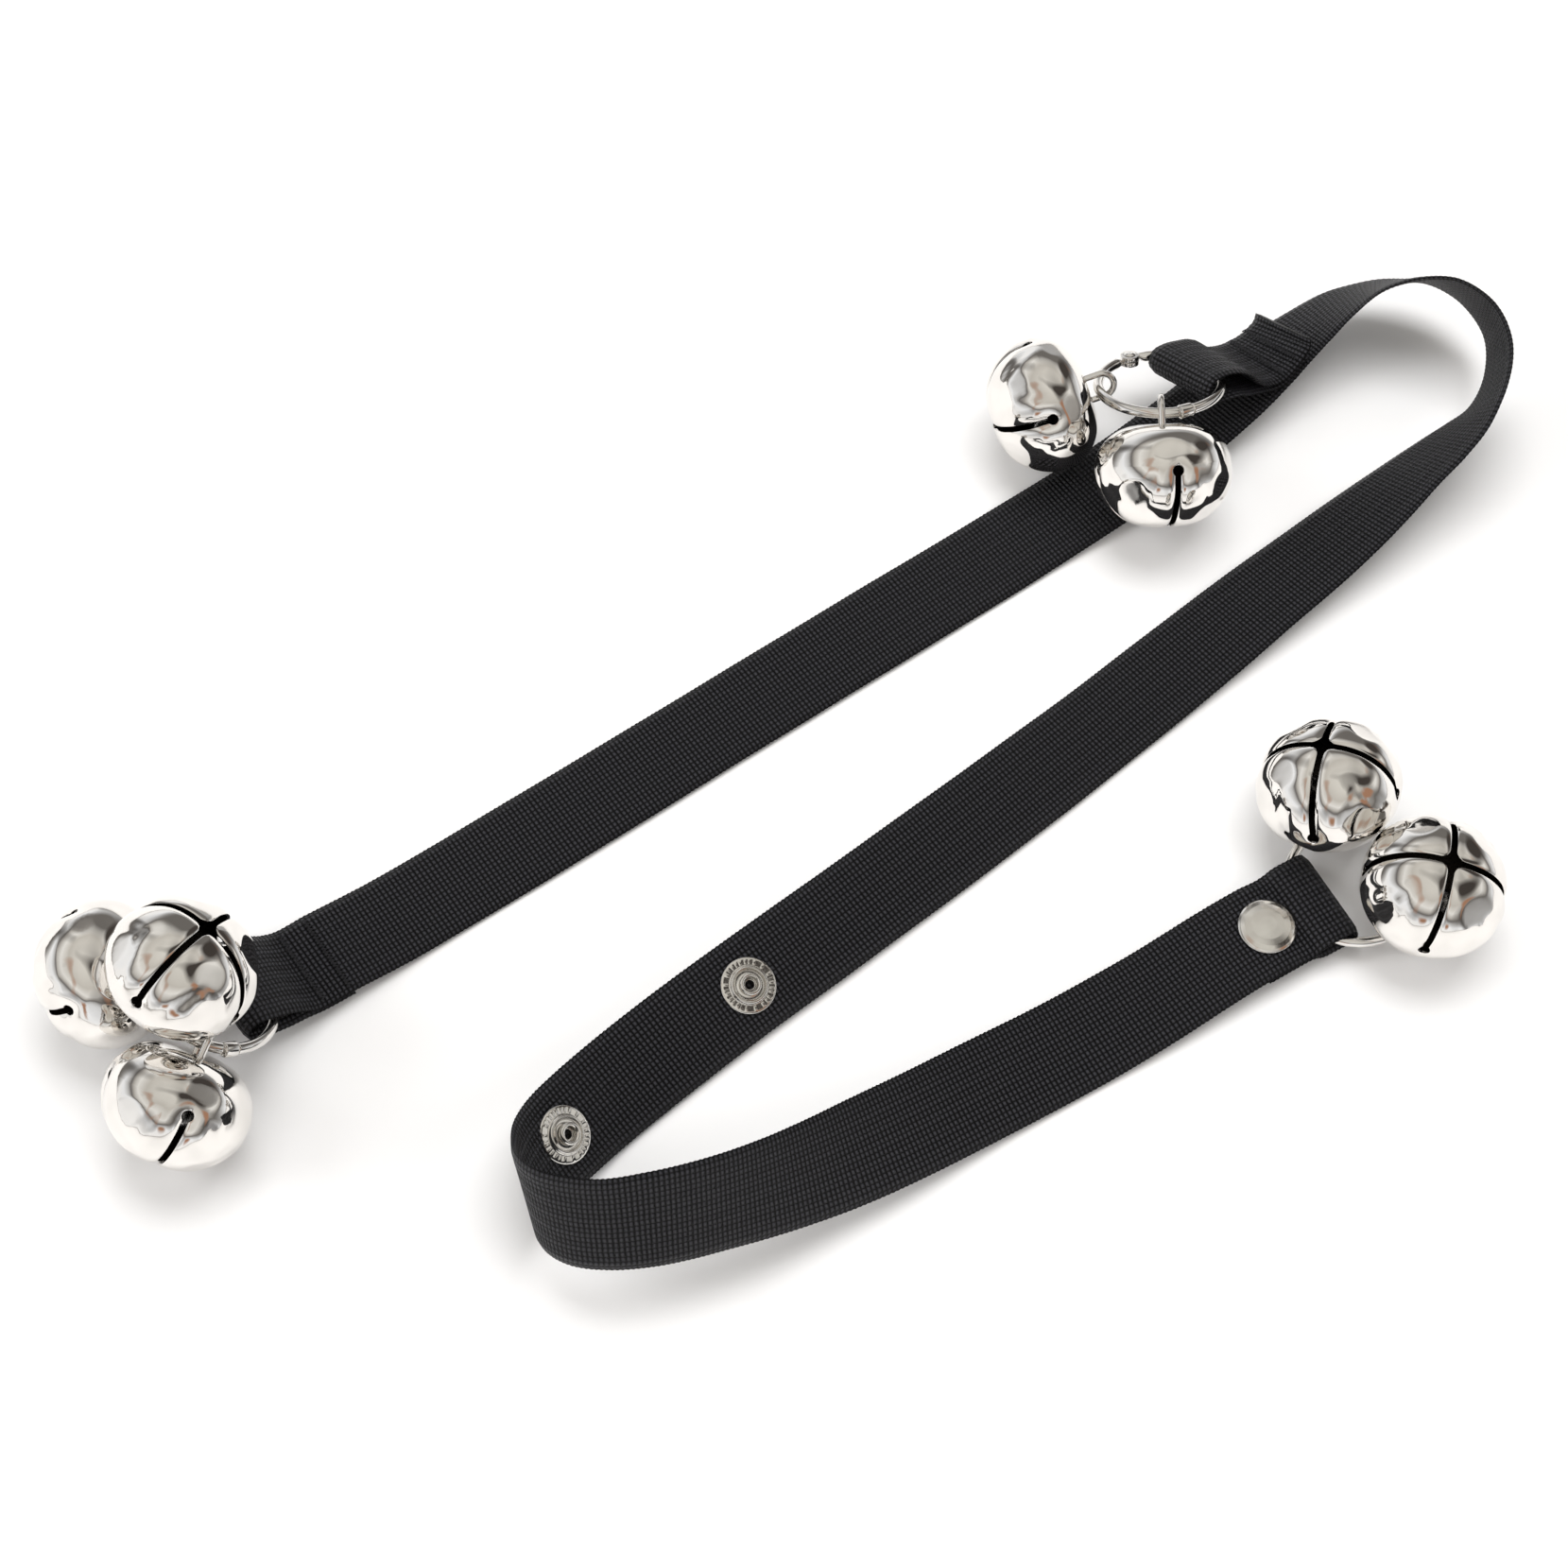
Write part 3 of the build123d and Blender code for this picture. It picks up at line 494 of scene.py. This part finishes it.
# ------------------------------------------------------------ webbing
def woven(name, knots):
    """Ribbed webbing along the knots: ribs that alternate from strand to strand, and scalloped edges."""
    length = route_length(knots)
    fine = through(knots, 1.0)
    frames = frames_along(fine)
    runs = [0.0]
    for a, b in zip(frames, frames[1:]):
        runs.append(runs[-1] + (b[0] - a[0]).length)
    middle = np.array([f[0] for f in frames])
    across = np.array([f[2] for f in frames])
    total = runs[-1]
    count = int(total / RIB) * 4
    at = np.linspace(0, total, count + 1)
    mid = np.stack([np.interp(at, runs, middle[:, i]) for i in range(3)], 1)
    wid = np.stack([np.interp(at, runs, across[:, i]) for i in range(3)], 1)
    wid /= np.linalg.norm(wid, axis=1)[:, None]
    fwd = np.gradient(mid, axis=0)
    fwd /= np.linalg.norm(fwd, axis=1)[:, None]
    wid -= fwd * (wid * fwd).sum(1)[:, None]
    wid /= np.linalg.norm(wid, axis=1)[:, None]
    face = np.cross(wid, fwd)
    spread = np.linspace(-1, 1, 14)[1:-1]
    rib = np.sin(2 * np.pi * at / RIB)
    rows = []
    half_w, half_t = WEB_WIDTH / 2 - 0.12, WEB_THICK / 2 - 0.02
    wander = 0.10 * np.sin(at / 17.0) + 0.07 * np.sin(at / 6.3 + 1.0)
    columns, us = [], []
    for side, order in ((1, spread), (-1, spread[::-1])):
        for k, s in enumerate(order):
            lift = half_t - 0.09 + 0.09 * rib * (1 if k % 2 else -1)
            if abs(s) > 0.8:
                lift = half_t * 0.82 + 0.05 * rib
            columns.append(mid + wid * (s * half_w) + face * (side * lift)[:, None])
            us.append((s + 1) / 2)
        edge = half_w + 0.10 * rib + wander * 0.4
        columns.append(mid + wid * (side * edge)[:, None] + face * 0.0)
        us.append(1.0 if side > 0 else 0.0)
    n = len(columns)
    grid = np.stack(columns, 1)
    verts = grid.reshape(-1, 3)
    faces = []
    for i in range(count):
        for k in range(n):
            m = (k + 1) % n
            faces.append((i * n + k, i * n + m, (i + 1) * n + m, (i + 1) * n + k))
    faces.append(tuple(range(n))[::-1])
    faces.append(tuple(count * n + k for k in range(n)))
    uvs = [(a / RIB, u) for a in at for u in us]
    piece = mesh_object(name, [Vector(v) for v in verts], faces, uvs)
    return piece, length


strap, strap_length = woven("strap_webbing_woven", strap_knots())
finish_piece(strap, "strap", "strap_webbing", "webbing")
tab, tab_length = woven("ring_tab_woven", tab_knots())
finish_piece(tab, "strap", "ring_tab", "webbing")


def bar_thread(build, middle, across, face, offset):
    """One row of bar tack: a zigzag of thread that lies on the webbing."""
    forward = face.cross(across)
    reach, low, high = 0.75, 0.096, 0.24
    points = []
    for i in range(BAR_STITCHES + 1):
        u = -BAR_HALF + 2 * BAR_HALF * i / BAR_STITCHES
        v = reach * (1 if i % 2 else -1)
        points.append(middle + across * u + forward * v + face * (offset + low))
        if i < BAR_STITCHES:
            halfway = u + BAR_HALF / BAR_STITCHES
            points.append(middle + across * halfway + face * (offset + high))
    build.tube(points, [THREAD_RADIUS] * len(points), sides=6)


surface = WEB_THICK / 2 + 0.12
build = Build()
for distance in END_BARS_AT:
    middle, _, across, face = frame_at(main_frames, distance)
    bar_thread(build, middle, across, face, surface)
    bar_thread(build, middle, across, face * -1, surface + LAYER_STEP)
end_stitches = finish_piece(build.made("end_stitches_thread"), "strap", "end_stitches", "thread")
build = Build()
for distance in TAB_BARS_AT:
    middle, _, across, face = frame_at(main_frames, distance)
    bar_thread(build, middle, across, face, surface + 2 * LAYER_STEP + TAB_SEAT)
tab_stitches = finish_piece(build.made("tab_stitches_thread"), "strap", "tab_stitches", "thread")


# ------------------------------------------------------------ press studs
def outward_plane(frame_here, side, offset):
    middle, _, across, face = frame_here
    return plane(middle + face * (side * offset), across, face * side)


snap = frame_at(main_frames, MAIN_LENGTH - SNAP_FROM_END)
top = WEB_THICK / 2 + 0.03
cap_outline = rounded([(0, 1.9), (2.2, 1.83), (4.2, 1.60), (5.8, 1.22), (6.8, 0.82), (7.35, 0.42), (7.5, 0.12),
                       (7.35, 0.0), (6.6, 0.0), (2.0, 0.0), (2.0, -2.9), (0, -2.9)], 0.12)
build = Build()
build.lathe(outward_plane(snap, 1, top), cap_outline, 96)
finish_piece(build.made("snap_cap_domed"), "strap", "snap_cap", "snap_nickel")

SOCKET_HEIGHT = 3.4
socket_outline = rounded([(3.1, 0), (4.8, 0), (5.4, 0.5), (5.4, 2.4), (6.0, 2.6), (6.0, SOCKET_HEIGHT),
                          (0, SOCKET_HEIGHT), (0, 2.7), (3.4, 2.7), (3.4, 0.5)], 0.18)
build = Build()
socket_mouth = outward_plane(snap, -1, top + LAYER_STEP + SOCKET_HEIGHT)
build.lathe(socket_mouth @ Matrix.Rotation(math.pi, 4, "X"), socket_outline, 72)
finish_piece(build.made("snap_socket_cup"), "strap", "snap_socket", "snap_nickel")


def embossing(r, h, turn):
    """A band of short raised marks, unevenly spaced, on the stud's flange."""
    if not 5.25 < r < 6.6 or h < 0.4:
        return 0.0
    beat = math.sin(turn * 31) + 0.6 * math.sin(turn * 17 + 1.3)
    return 0.08 if beat > 0.45 else 0.0


stud_flange = [(1.95, 0), (7.0, 0), (7.2, 0.15), (7.2, 0.42), (6.95, 0.62), (6.6, 0.7), (6.45, 0.7), (5.4, 0.7)]
stud_bead = [(5.2, 0.7), (5.0, 0.72), (4.85, 0.95), (4.7, 1.5), (4.5, 1.7), (4.15, 1.7), (4.0, 1.5), (3.85, 0.75)]
stud_tube = [(3.7, 0.7), (2.65, 0.7), (2.55, 0.8), (2.55, 2.0), (2.7, 2.3), (2.85, 2.5), (2.8, 2.9), (2.5, 3.3),
             (1.95, 3.3)]
stud_outline = stud_flange + stud_bead + stud_tube
POST_FLANGE = 0.8
post_outline = rounded([(0, 0), (5.5, 0), (5.5, 0.4), (4.9, POST_FLANGE), (1.9, POST_FLANGE), (1.9, 3.8),
                        (1.2, 3.8), (1.2, POST_FLANGE), (0, POST_FLANGE)], 0.15)
for letter, distance in STUDS_AT.items():
    here = frame_at(main_frames, distance)
    build = Build()
    build.lathe(outward_plane(here, -1, top), stud_outline, 180, embossing)
    finish_piece(build.made(f"snap_stud_{letter}_ring"), "strap", f"snap_stud_{letter}", "snap_nickel")
    build = Build()
    build.lathe(outward_plane(here, -1, -top - POST_FLANGE), post_outline, 64)
    finish_piece(build.made(f"snap_post_{letter}_eyelet"), "strap", f"snap_post_{letter}", "snap_nickel")


# ------------------------------------------------------------ rings
def ring_place(name):
    centre, heading, pitch, bank, _ = RINGS[name]
    h, p, b = (math.radians(v) for v in (heading, pitch, bank))
    toward = Vector((math.cos(h), math.sin(h), 0))
    beside = Vector((math.sin(h), -math.cos(h), 0))
    up = Vector((0, 0, 1))
    banked = beside * math.cos(b) + up * math.sin(b)
    normal = up * math.cos(b) - beside * math.sin(b)
    into = toward * math.cos(p) - normal * math.sin(p)
    return plane(centre, into, into.cross(banked))


def on_ring(angle, height=0.0, radius=RING_RADIUS):
    return Vector((radius * math.cos(math.radians(angle)), radius * math.sin(math.radians(angle)), height))


def lug_parts(build, place, angle, low, high, hole):
    centre = place @ Matrix.Translation(on_ring(angle, (low + high) / 2))
    half = (high - low) / 2
    build.lathe(centre, rounded([(hole, -half), (2.6, -half), (2.6, half), (hole, half)], 0.18), 40)


def along_wire(place, angle):
    tangent = on_ring(angle + 90, 0, 1.0)
    return place @ plane(on_ring(angle), Vector((0, 0, 1)), tangent)


for name, (*_, latch) in RINGS.items():
    place = ring_place(name)
    hinge = latch + 180
    clear = math.degrees(2.75 / RING_RADIUS)
    neck = math.degrees(2.2 / RING_RADIUS)

    def half_wire(build, start, end, lug_side, from_hinge):
        """Wire that steps up or down into its own flat lug."""
        points, radii = [], []
        count = 64
        for k in range(count + 1):
            angle = start + (end - start) * k / count
            away = abs(angle - from_hinge) * math.radians(1) * RING_RADIUS
            ease = max(0.0, min(1.0, (4.4 - away) / 2.2))
            shift = lug_side * 0.62 * ease * ease * (3 - 2 * ease)
            points.append(place @ on_ring(angle, shift))
            radii.append(WIRE - 0.74 * ease * ease * (3 - 2 * ease))
        build.tube(points, radii, 20)

    build = Build()
    half_wire(build, hinge + neck, hinge + 180 - 0.5, -1, hinge)
    lug_parts(build, place, hinge, -WIRE, -0.05, 0.8)
    tip = along_wire(place, latch)
    build.lathe(tip, rounded([(0, -0.4), (1.15, -0.4), (0.62, 1.8), (0, 1.85)], 0.15), 24)
    finish_piece(build.made(f"ring_{name}_body_wire"), f"ring_{name}", f"ring_{name}_body", "ring_nickel")

    build = Build()
    half_wire(build, latch + 11.5, hinge - neck, 1, hinge)
    lug_parts(build, place, hinge, 0.05, WIRE, 0.85)
    sleeve = [(1.3, 0.0), (1.9, 0.0), (1.9, 3.3), (1.45, 3.7), (0, 3.7), (0, 2.4), (0.75, 2.4)]
    build.lathe(tip, rounded(sleeve, 0.2), 32)
    finish_piece(build.made(f"ring_{name}_gate_wire"), f"gate_{name}", f"ring_{name}_gate", "ring_nickel")

    build = Build()
    rivet = place @ Matrix.Translation(on_ring(hinge))
    upper_half = [(0.8, 1.45), (1.6, 1.45), (1.6, 1.6), (0.9, 1.95), (0, 1.95)]
    lower_half = [(r, -h) for r, h in reversed(upper_half)]
    build.lathe(rivet, rounded(lower_half + upper_half, 0.12), 32)
    finish_piece(build.made(f"ring_{name}_rivet_pin"), f"ring_{name}", f"ring_{name}_rivet", "ring_nickel")


# ------------------------------------------------------------ bells
OUTLINE = [(0, -13.4), (7, -13.1), (12, -11.6), (16.2, -8.0), (18.3, -3.5), (18.6, 0.5), (17.8, 4.0),
           (15.2, 8.6), (11, 12.2), (6, 14.1), (0, 14.6)]
SLOT_HALF, KEYHOLE, SLOT_FOOT, TIP_ROUND = 0.85, 1.55, -1.5, 2.4
SHELL_THICK = 0.6
CROWN_ROWS, PETAL_ROWS, COLUMNS = 26, 45, 26
SLOT_SQUEEZE = 0.052                 # share of the radius by which the petals draw in at a slot
EDGE_CURL, KEYHOLE_DIMPLE, CREASE_DEPTH, FACET_SOFTNESS = 0.42, 0.75, 0.35, 0.12


def outline_points():
    """Points along the bell's smooth outline, and the length run at each."""
    ends = [(-7, -13.1)] + OUTLINE + [(-6, 14.1)]
    fine = []
    for i in range(1, len(ends) - 2):
        p0, p1, p2, p3 = (np.array(e, float) for e in ends[i - 1:i + 3])
        for t in np.linspace(0, 1, 40, endpoint=False):
            square = (2 * p0 - 5 * p1 + 4 * p2 - p3) * t ** 2
            cube = (3 * p1 - p0 - 3 * p2 + p3) * t ** 3
            fine.append(0.5 * (2 * p1 + (p2 - p0) * t + square + cube))
    fine.append(np.array(OUTLINE[-1], float))
    fine = np.array(fine)
    runs = np.concatenate([[0], np.cumsum(np.linalg.norm(np.diff(fine, axis=0), axis=1))])
    return fine, runs


def half_gap(radius, height):
    """Angle from a slot's middle to the petal's edge, at a place on the outline."""
    if height < SLOT_FOOT - KEYHOLE or radius < 1e-6:
        return 0.0
    gap = SLOT_HALF if height > SLOT_FOOT else 0.0
    if abs(height - SLOT_FOOT) < KEYHOLE:
        gap = max(gap, math.sqrt(KEYHOLE ** 2 - (height - SLOT_FOOT) ** 2))
    if height < 9:
        return math.asin(min(1, gap / radius))
    inner = SLOT_HALF + TIP_ROUND
    if radius ** 2 - SLOT_HALF ** 2 > inner ** 2:
        return math.asin(SLOT_HALF / radius)
    c = inner * math.sqrt(2)
    beta = math.acos(max(-1, min(1, (radius ** 2 + c ** 2 - TIP_ROUND ** 2) / (2 * radius * c))))
    return math.pi / 4 - beta


def soft_step(a, b, x):
    t = np.clip((x - a) / (b - a), 0, 1)
    return t * t * (3 - 2 * t)


def facet_normal(heading, rise):
    return np.array([math.cos(rise) * math.cos(heading), math.cos(rise) * math.sin(heading), math.sin(rise)])


def shell_rows():
    """Radius and height down the outline, closer together round the keyholes."""
    fine, runs = outline_points()
    tip_radius = (SLOT_HALF + TIP_ROUND) * math.sqrt(2) - TIP_ROUND
    end = runs[np.argmax((fine[:, 1] > 9) & (fine[:, 0] < tip_radius * 1.001))]
    keyhole_heights = SLOT_FOOT - KEYHOLE + KEYHOLE * (1 - np.cos(np.linspace(0, math.pi, 14)))
    foot = [runs[np.argmin(np.abs(fine[:, 1] - h) + (fine[:, 0] < 5) * 50)] for h in keyhole_heights]
    crown = list(np.linspace(0.0, foot[0], CROWN_ROWS, endpoint=False))
    petals = list(foot[-1] + (end - foot[-1]) * (np.arange(1, PETAL_ROWS + 1) / PETAL_ROWS))
    knots = sorted(set(crown + foot + petals))
    return [(float(np.interp(k, runs, fine[:, 0])), float(np.interp(k, runs, fine[:, 1]))) for k in knots]


def shell_faults(seed):
    """Seeded dents, slow waves and flat facets, so that no two bells are alike."""
    rng = np.random.default_rng(seed)
    dents, waves, facets = [], [], []
    for _ in range(7):
        heading, height = rng.uniform(0, 2 * math.pi), rng.uniform(-9, 12)
        size, depth = rng.uniform(5.0, 8.0), rng.uniform(-0.22, 0.12)
        dents.append((np.array([math.cos(heading) * 16, math.sin(heading) * 16, height]), size, depth))
    for _ in range(4):
        waves.append((rng.normal(size=3) * 0.12, rng.uniform(0, 6.3), rng.uniform(0.03, 0.06)))
    for quadrant in range(4):
        for lift, reach in ((22, 18.0), (52, 16.55)):
            heading = math.radians(quadrant * 90 + 45 + rng.uniform(-9, 9))
            rise = math.radians(lift + rng.uniform(-5, 5))
            facets.append((facet_normal(heading, rise), reach - rng.uniform(0.45, 0.75)))
    for side in range(4):
        heading = math.radians(side * 90 + rng.uniform(-20, 20))
        facets.append((facet_normal(heading, math.radians(-32)), 17.9 - rng.uniform(0.3, 0.5)))
    return dents, waves, facets


def shell_point(radius, height, azimuth, local, faults):
    """A point of the outer skin. local runs from 0 to 1 across a petal, slot to slot."""
    dents, waves, facets = faults
    bulge = 4 * local * (1 - local)
    upper = float(soft_step(-7.0, 3.0, height))
    near = radius * math.sin(min(local, 1 - local) * math.pi / 2)
    scale = 1 - SLOT_SQUEEZE * upper * (1 - bulge) ** 1.6
    curl = EDGE_CURL * math.exp(-(near - SLOT_HALF) / 0.9) * float(soft_step(-2.5, 2.0, height))
    dimple = KEYHOLE_DIMPLE * math.exp(-((near / 3.2) ** 2) - ((height - SLOT_FOOT) / 3.4) ** 2)
    crease = CREASE_DEPTH * float(soft_step(0.0, 1.0, 1 - abs(near - 7.0 - 0.35 * height) / 2.6)) * upper
    p = np.array([radius * math.cos(azimuth), radius * math.sin(azimuth), height])
    drop = curl + dimple + crease
    for centre, size, depth in dents:
        drop -= depth * math.exp(-((p - centre) @ (p - centre)) / size ** 2)
    for direction, phase, amount in waves:
        drop += amount * math.sin(direction @ p + phase) * 0.9
    n = p / max(1e-6, np.linalg.norm(p))
    p = np.array([p[0] * scale, p[1] * scale, p[2]]) - n * max(-0.02, drop)
    for normal, reach in facets:
        over = p @ normal - reach
        if over > 0:
            p = p - normal * over * over / (over + FACET_SOFTNESS)
    return p


def shell_points(seed):
    """One bell shell about Z: rows of points for the crown and the four petals."""
    rows, faults = shell_rows(), shell_faults(seed)
    quarter = math.pi / 2
    verts, faces = [], []
    for quadrant in range(4):
        start = len(verts)
        for radius, height in rows:
            gap = half_gap(radius, height)
            for k in range(COLUMNS + 1):
                share = 0.5 - 0.5 * math.cos(math.pi * k / COLUMNS)
                share = 0.35 * share + 0.65 * k / COLUMNS
                azimuth = quadrant * quarter + gap + (quarter - 2 * gap) * share
                local = (azimuth - quadrant * quarter) / quarter
                verts.append(shell_point(radius, height, azimuth, local, faults))
        n = COLUMNS + 1
        for i in range(len(rows) - 1):
            for k in range(COLUMNS):
                here = start + i * n + k
                faces.append((here, here + 1, here + n + 1, here + n))
    return verts, faces


def make_shell(name, place, turn, seed):
    verts, faces = shell_points(seed)
    spin = place @ Matrix.Rotation(math.radians(turn), 4, "Z")
    piece = mesh_object(f"bell_{name}_petals", [spin @ Vector(v) for v in verts], faces)
    piece.data.materials.append(NICKEL)
    # The second material, near-black painted shade, goes on the inner wall through the solidify material offset.
    piece.data.materials.append(PAINTED_SHADE_INSIDE)
    weld = piece.modifiers.new("weld", "WELD")
    weld.merge_threshold = 0.00002
    solid = piece.modifiers.new("wall", "SOLIDIFY")
    solid.thickness = SHELL_THICK * MM
    solid.offset = -1
    solid.material_offset = 1
    bevel = piece.modifiers.new("edge", "BEVEL")
    bevel.width = 0.00012
    bevel.segments = 2
    bevel.limit_method = "ANGLE"
    bevel.angle_limit = math.radians(50)
    dg = bpy.context.evaluated_depsgraph_get()
    data = bpy.data.meshes.new_from_object(piece.evaluated_get(dg))
    piece.modifiers.clear()
    piece.data = data
    return piece


def bell_place(name):
    ring, angle, axis, _ = BELLS[name]
    place = ring_place(ring)
    eye = place @ on_ring(angle)
    tangent = (place @ on_ring(angle + 90)) - place.translation
    axis = Vector(axis).normalized()
    hole = (tangent - axis * tangent.dot(axis)).normalized()
    return plane(eye + axis * 16.0, hole.cross(axis), axis)


for seed, (name, (*_, turn)) in enumerate(BELLS.items(), 11):
    place = bell_place(name)
    body = f"bell_{name}"
    finish_piece(make_shell(name, place, turn, seed), body, f"bell_{name}_shell", "bell_nickel")
    build = Build()
    points = [place @ Vector((3.4, 0, -12.95 - 0.4 * k)) for k in range(0, 10)]
    for a in np.linspace(0, math.pi, 25)[1:-1]:
        points.append(place @ Vector((3.4 * math.cos(a), 0, -16.9 - 3.4 * math.sin(a))))
    points += [place @ Vector((-3.4, 0, -12.95 - 0.4 * k)) for k in range(9, -1, -1)]
    build.tube(points, [0.9] * len(points), 16)
    finish_piece(build.made(f"bell_{name}_shank_wire"), body, f"bell_{name}_shank", "ring_nickel")
    low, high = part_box(f"bell_{name}_pellet")
    centre = (low + high) / 2
    build = Build()
    ball = [(4.0 * math.sin(t), -4.0 * math.cos(t)) for t in np.linspace(0, math.pi, 25)]
    seam = [(r * (1 - 0.012 * math.exp(-(h / 0.25) ** 2)), h) for r, h in ball]
    build.lathe(plane(centre / MM - ORIGIN, (1, 0, 0), (0.3, 0.2, 1)), seam, 36)
    finish_piece(build.made(f"bell_{name}_pellet_ball"), f"pellet_{name}", f"bell_{name}_pellet", "pellet_steel")


# ------------------------------------------------------------ floor, light, camera
def floor_material():
    material, tree, shader = node_tree("pale_floor")
    shader.inputs["Base Color"].default_value = (0.86, 0.86, 0.865, 1)
    shader.inputs["Roughness"].default_value = 0.9
    shader.inputs["Specular IOR Level"].default_value = 0.1
    return material


bpy.ops.mesh.primitive_plane_add(size=14, location=(0, 0, -0.0002))
floor = bpy.context.object
floor.name = "floor"
floor.data.materials.append(floor_material())


def area_light(name, location, size, power, colour=(1, 1, 1)):
    data = bpy.data.lights.new(name, "AREA")
    data.shape = "RECTANGLE"
    data.size, data.size_y = size
    data.energy = power
    data.color = colour
    lamp = bpy.data.objects.new(name, data)
    lamp.location = location
    lamp.rotation_euler = (-Vector(location)).to_track_quat("-Z", "Y").to_euler()
    lamp.visible_glossy = False
    bpy.context.scene.collection.objects.link(lamp)
    return lamp


area_light("overhead", (0.15, 0.35, 1.5), (1.2, 0.8), 17)
area_light("left_soft", (-1.3, -0.1, 0.9), (0.7, 1.0), 9)
area_light("right_soft", (1.2, -0.6, 0.9), (0.6, 0.9), 5)


def studio_world():
    """White room with a few grey, dark and warm surfaces for the plating to mirror."""
    world = bpy.data.worlds.new("studio")
    bpy.context.scene.world = world
    world.use_nodes = True
    tree = world.node_tree
    background = tree.nodes["Background"]
    place = tree.nodes.new("ShaderNodeTexCoord")
    split = tree.nodes.new("ShaderNodeSeparateXYZ")
    tree.links.new(place.outputs["Generated"], split.inputs[0])
    ramp = tree.nodes.new("ShaderNodeValToRGB")
    stops = [(0.0, (1.0, 1.0, 1.0)), (0.18, (0.95, 0.97, 1.0)), (0.34, (0.55, 0.55, 0.55)),
             (0.42, (0.16, 0.15, 0.145)), (0.50, (0.50, 0.48, 0.45)), (0.62, (0.86, 0.85, 0.82)),
             (0.80, (0.60, 0.575, 0.53)), (1.0, (0.74, 0.72, 0.67))]
    ramp.color_ramp.elements[0].position, ramp.color_ramp.elements[0].color = stops[0][0], stops[0][1] + (1,)
    ramp.color_ramp.elements[1].position, ramp.color_ramp.elements[1].color = stops[-1][0], stops[-1][1] + (1,)
    for position, colour in stops[1:-1]:
        element = ramp.color_ramp.elements.new(position)
        element.color = colour + (1,)
    slant = math_node(tree, "ADD", math_node(tree, "MULTIPLY", split.outputs[0], 0.16), split.outputs[2])
    tree.links.new(slant, ramp.inputs[0])

    def patch(offset, scale, low, high, colour, under):
        """Mixes one kind of dark or warm surface into the room."""
        shift = tree.nodes.new("ShaderNodeVectorMath")
        shift.operation = "ADD"
        shift.inputs[1].default_value = offset
        tree.links.new(place.outputs["Generated"], shift.inputs[0])
        noise = tree.nodes.new("ShaderNodeTexNoise")
        noise.inputs["Scale"].default_value = scale
        noise.inputs["Detail"].default_value = 0.0
        tree.links.new(shift.outputs[0], noise.inputs["Vector"])
        mask = tree.nodes.new("ShaderNodeMapRange")
        mask.inputs["From Min"].default_value = low
        mask.inputs["From Max"].default_value = high
        tree.links.new(noise.outputs[0], mask.inputs["Value"])
        mix = tree.nodes.new("ShaderNodeMix")
        mix.data_type = "RGBA"
        tree.links.new(mask.outputs[0], mix.inputs[0])
        tree.links.new(under, mix.inputs[6])
        mix.inputs[7].default_value = colour
        return mix.outputs[2]

    room = patch((0.0, 0.0, 0.0), 1.1, 0.52, 0.74, (0.17, 0.16, 0.15, 1), ramp.outputs[0])
    room = patch((5.2, 1.7, 3.1), 1.5, 0.64, 0.78, (0.06, 0.052, 0.047, 1), room)
    room = patch((9.1, 4.4, 7.3), 1.9, 0.72, 0.84, (0.40, 0.22, 0.14, 1), room)
    tree.links.new(room, background.inputs["Color"])
    background.inputs["Strength"].default_value = 1.0


studio_world()
bpy.context.scene.view_settings.view_transform = "Standard"

camera_data = bpy.data.cameras.new("camera")
camera_data.lens = 65.92
camera_data.sensor_width = 36.0
camera_data.clip_start = 0.01
camera = bpy.data.objects.new("camera", camera_data)
target = ORIGIN * MM
elevation, distance = math.radians(62), 0.748
camera.location = target + Vector((0, -math.cos(elevation), math.sin(elevation))) * distance
camera.rotation_euler = (target - camera.location).to_track_quat("-Z", "Y").to_euler()
bpy.context.scene.collection.objects.link(camera)
bpy.context.scene.camera = camera
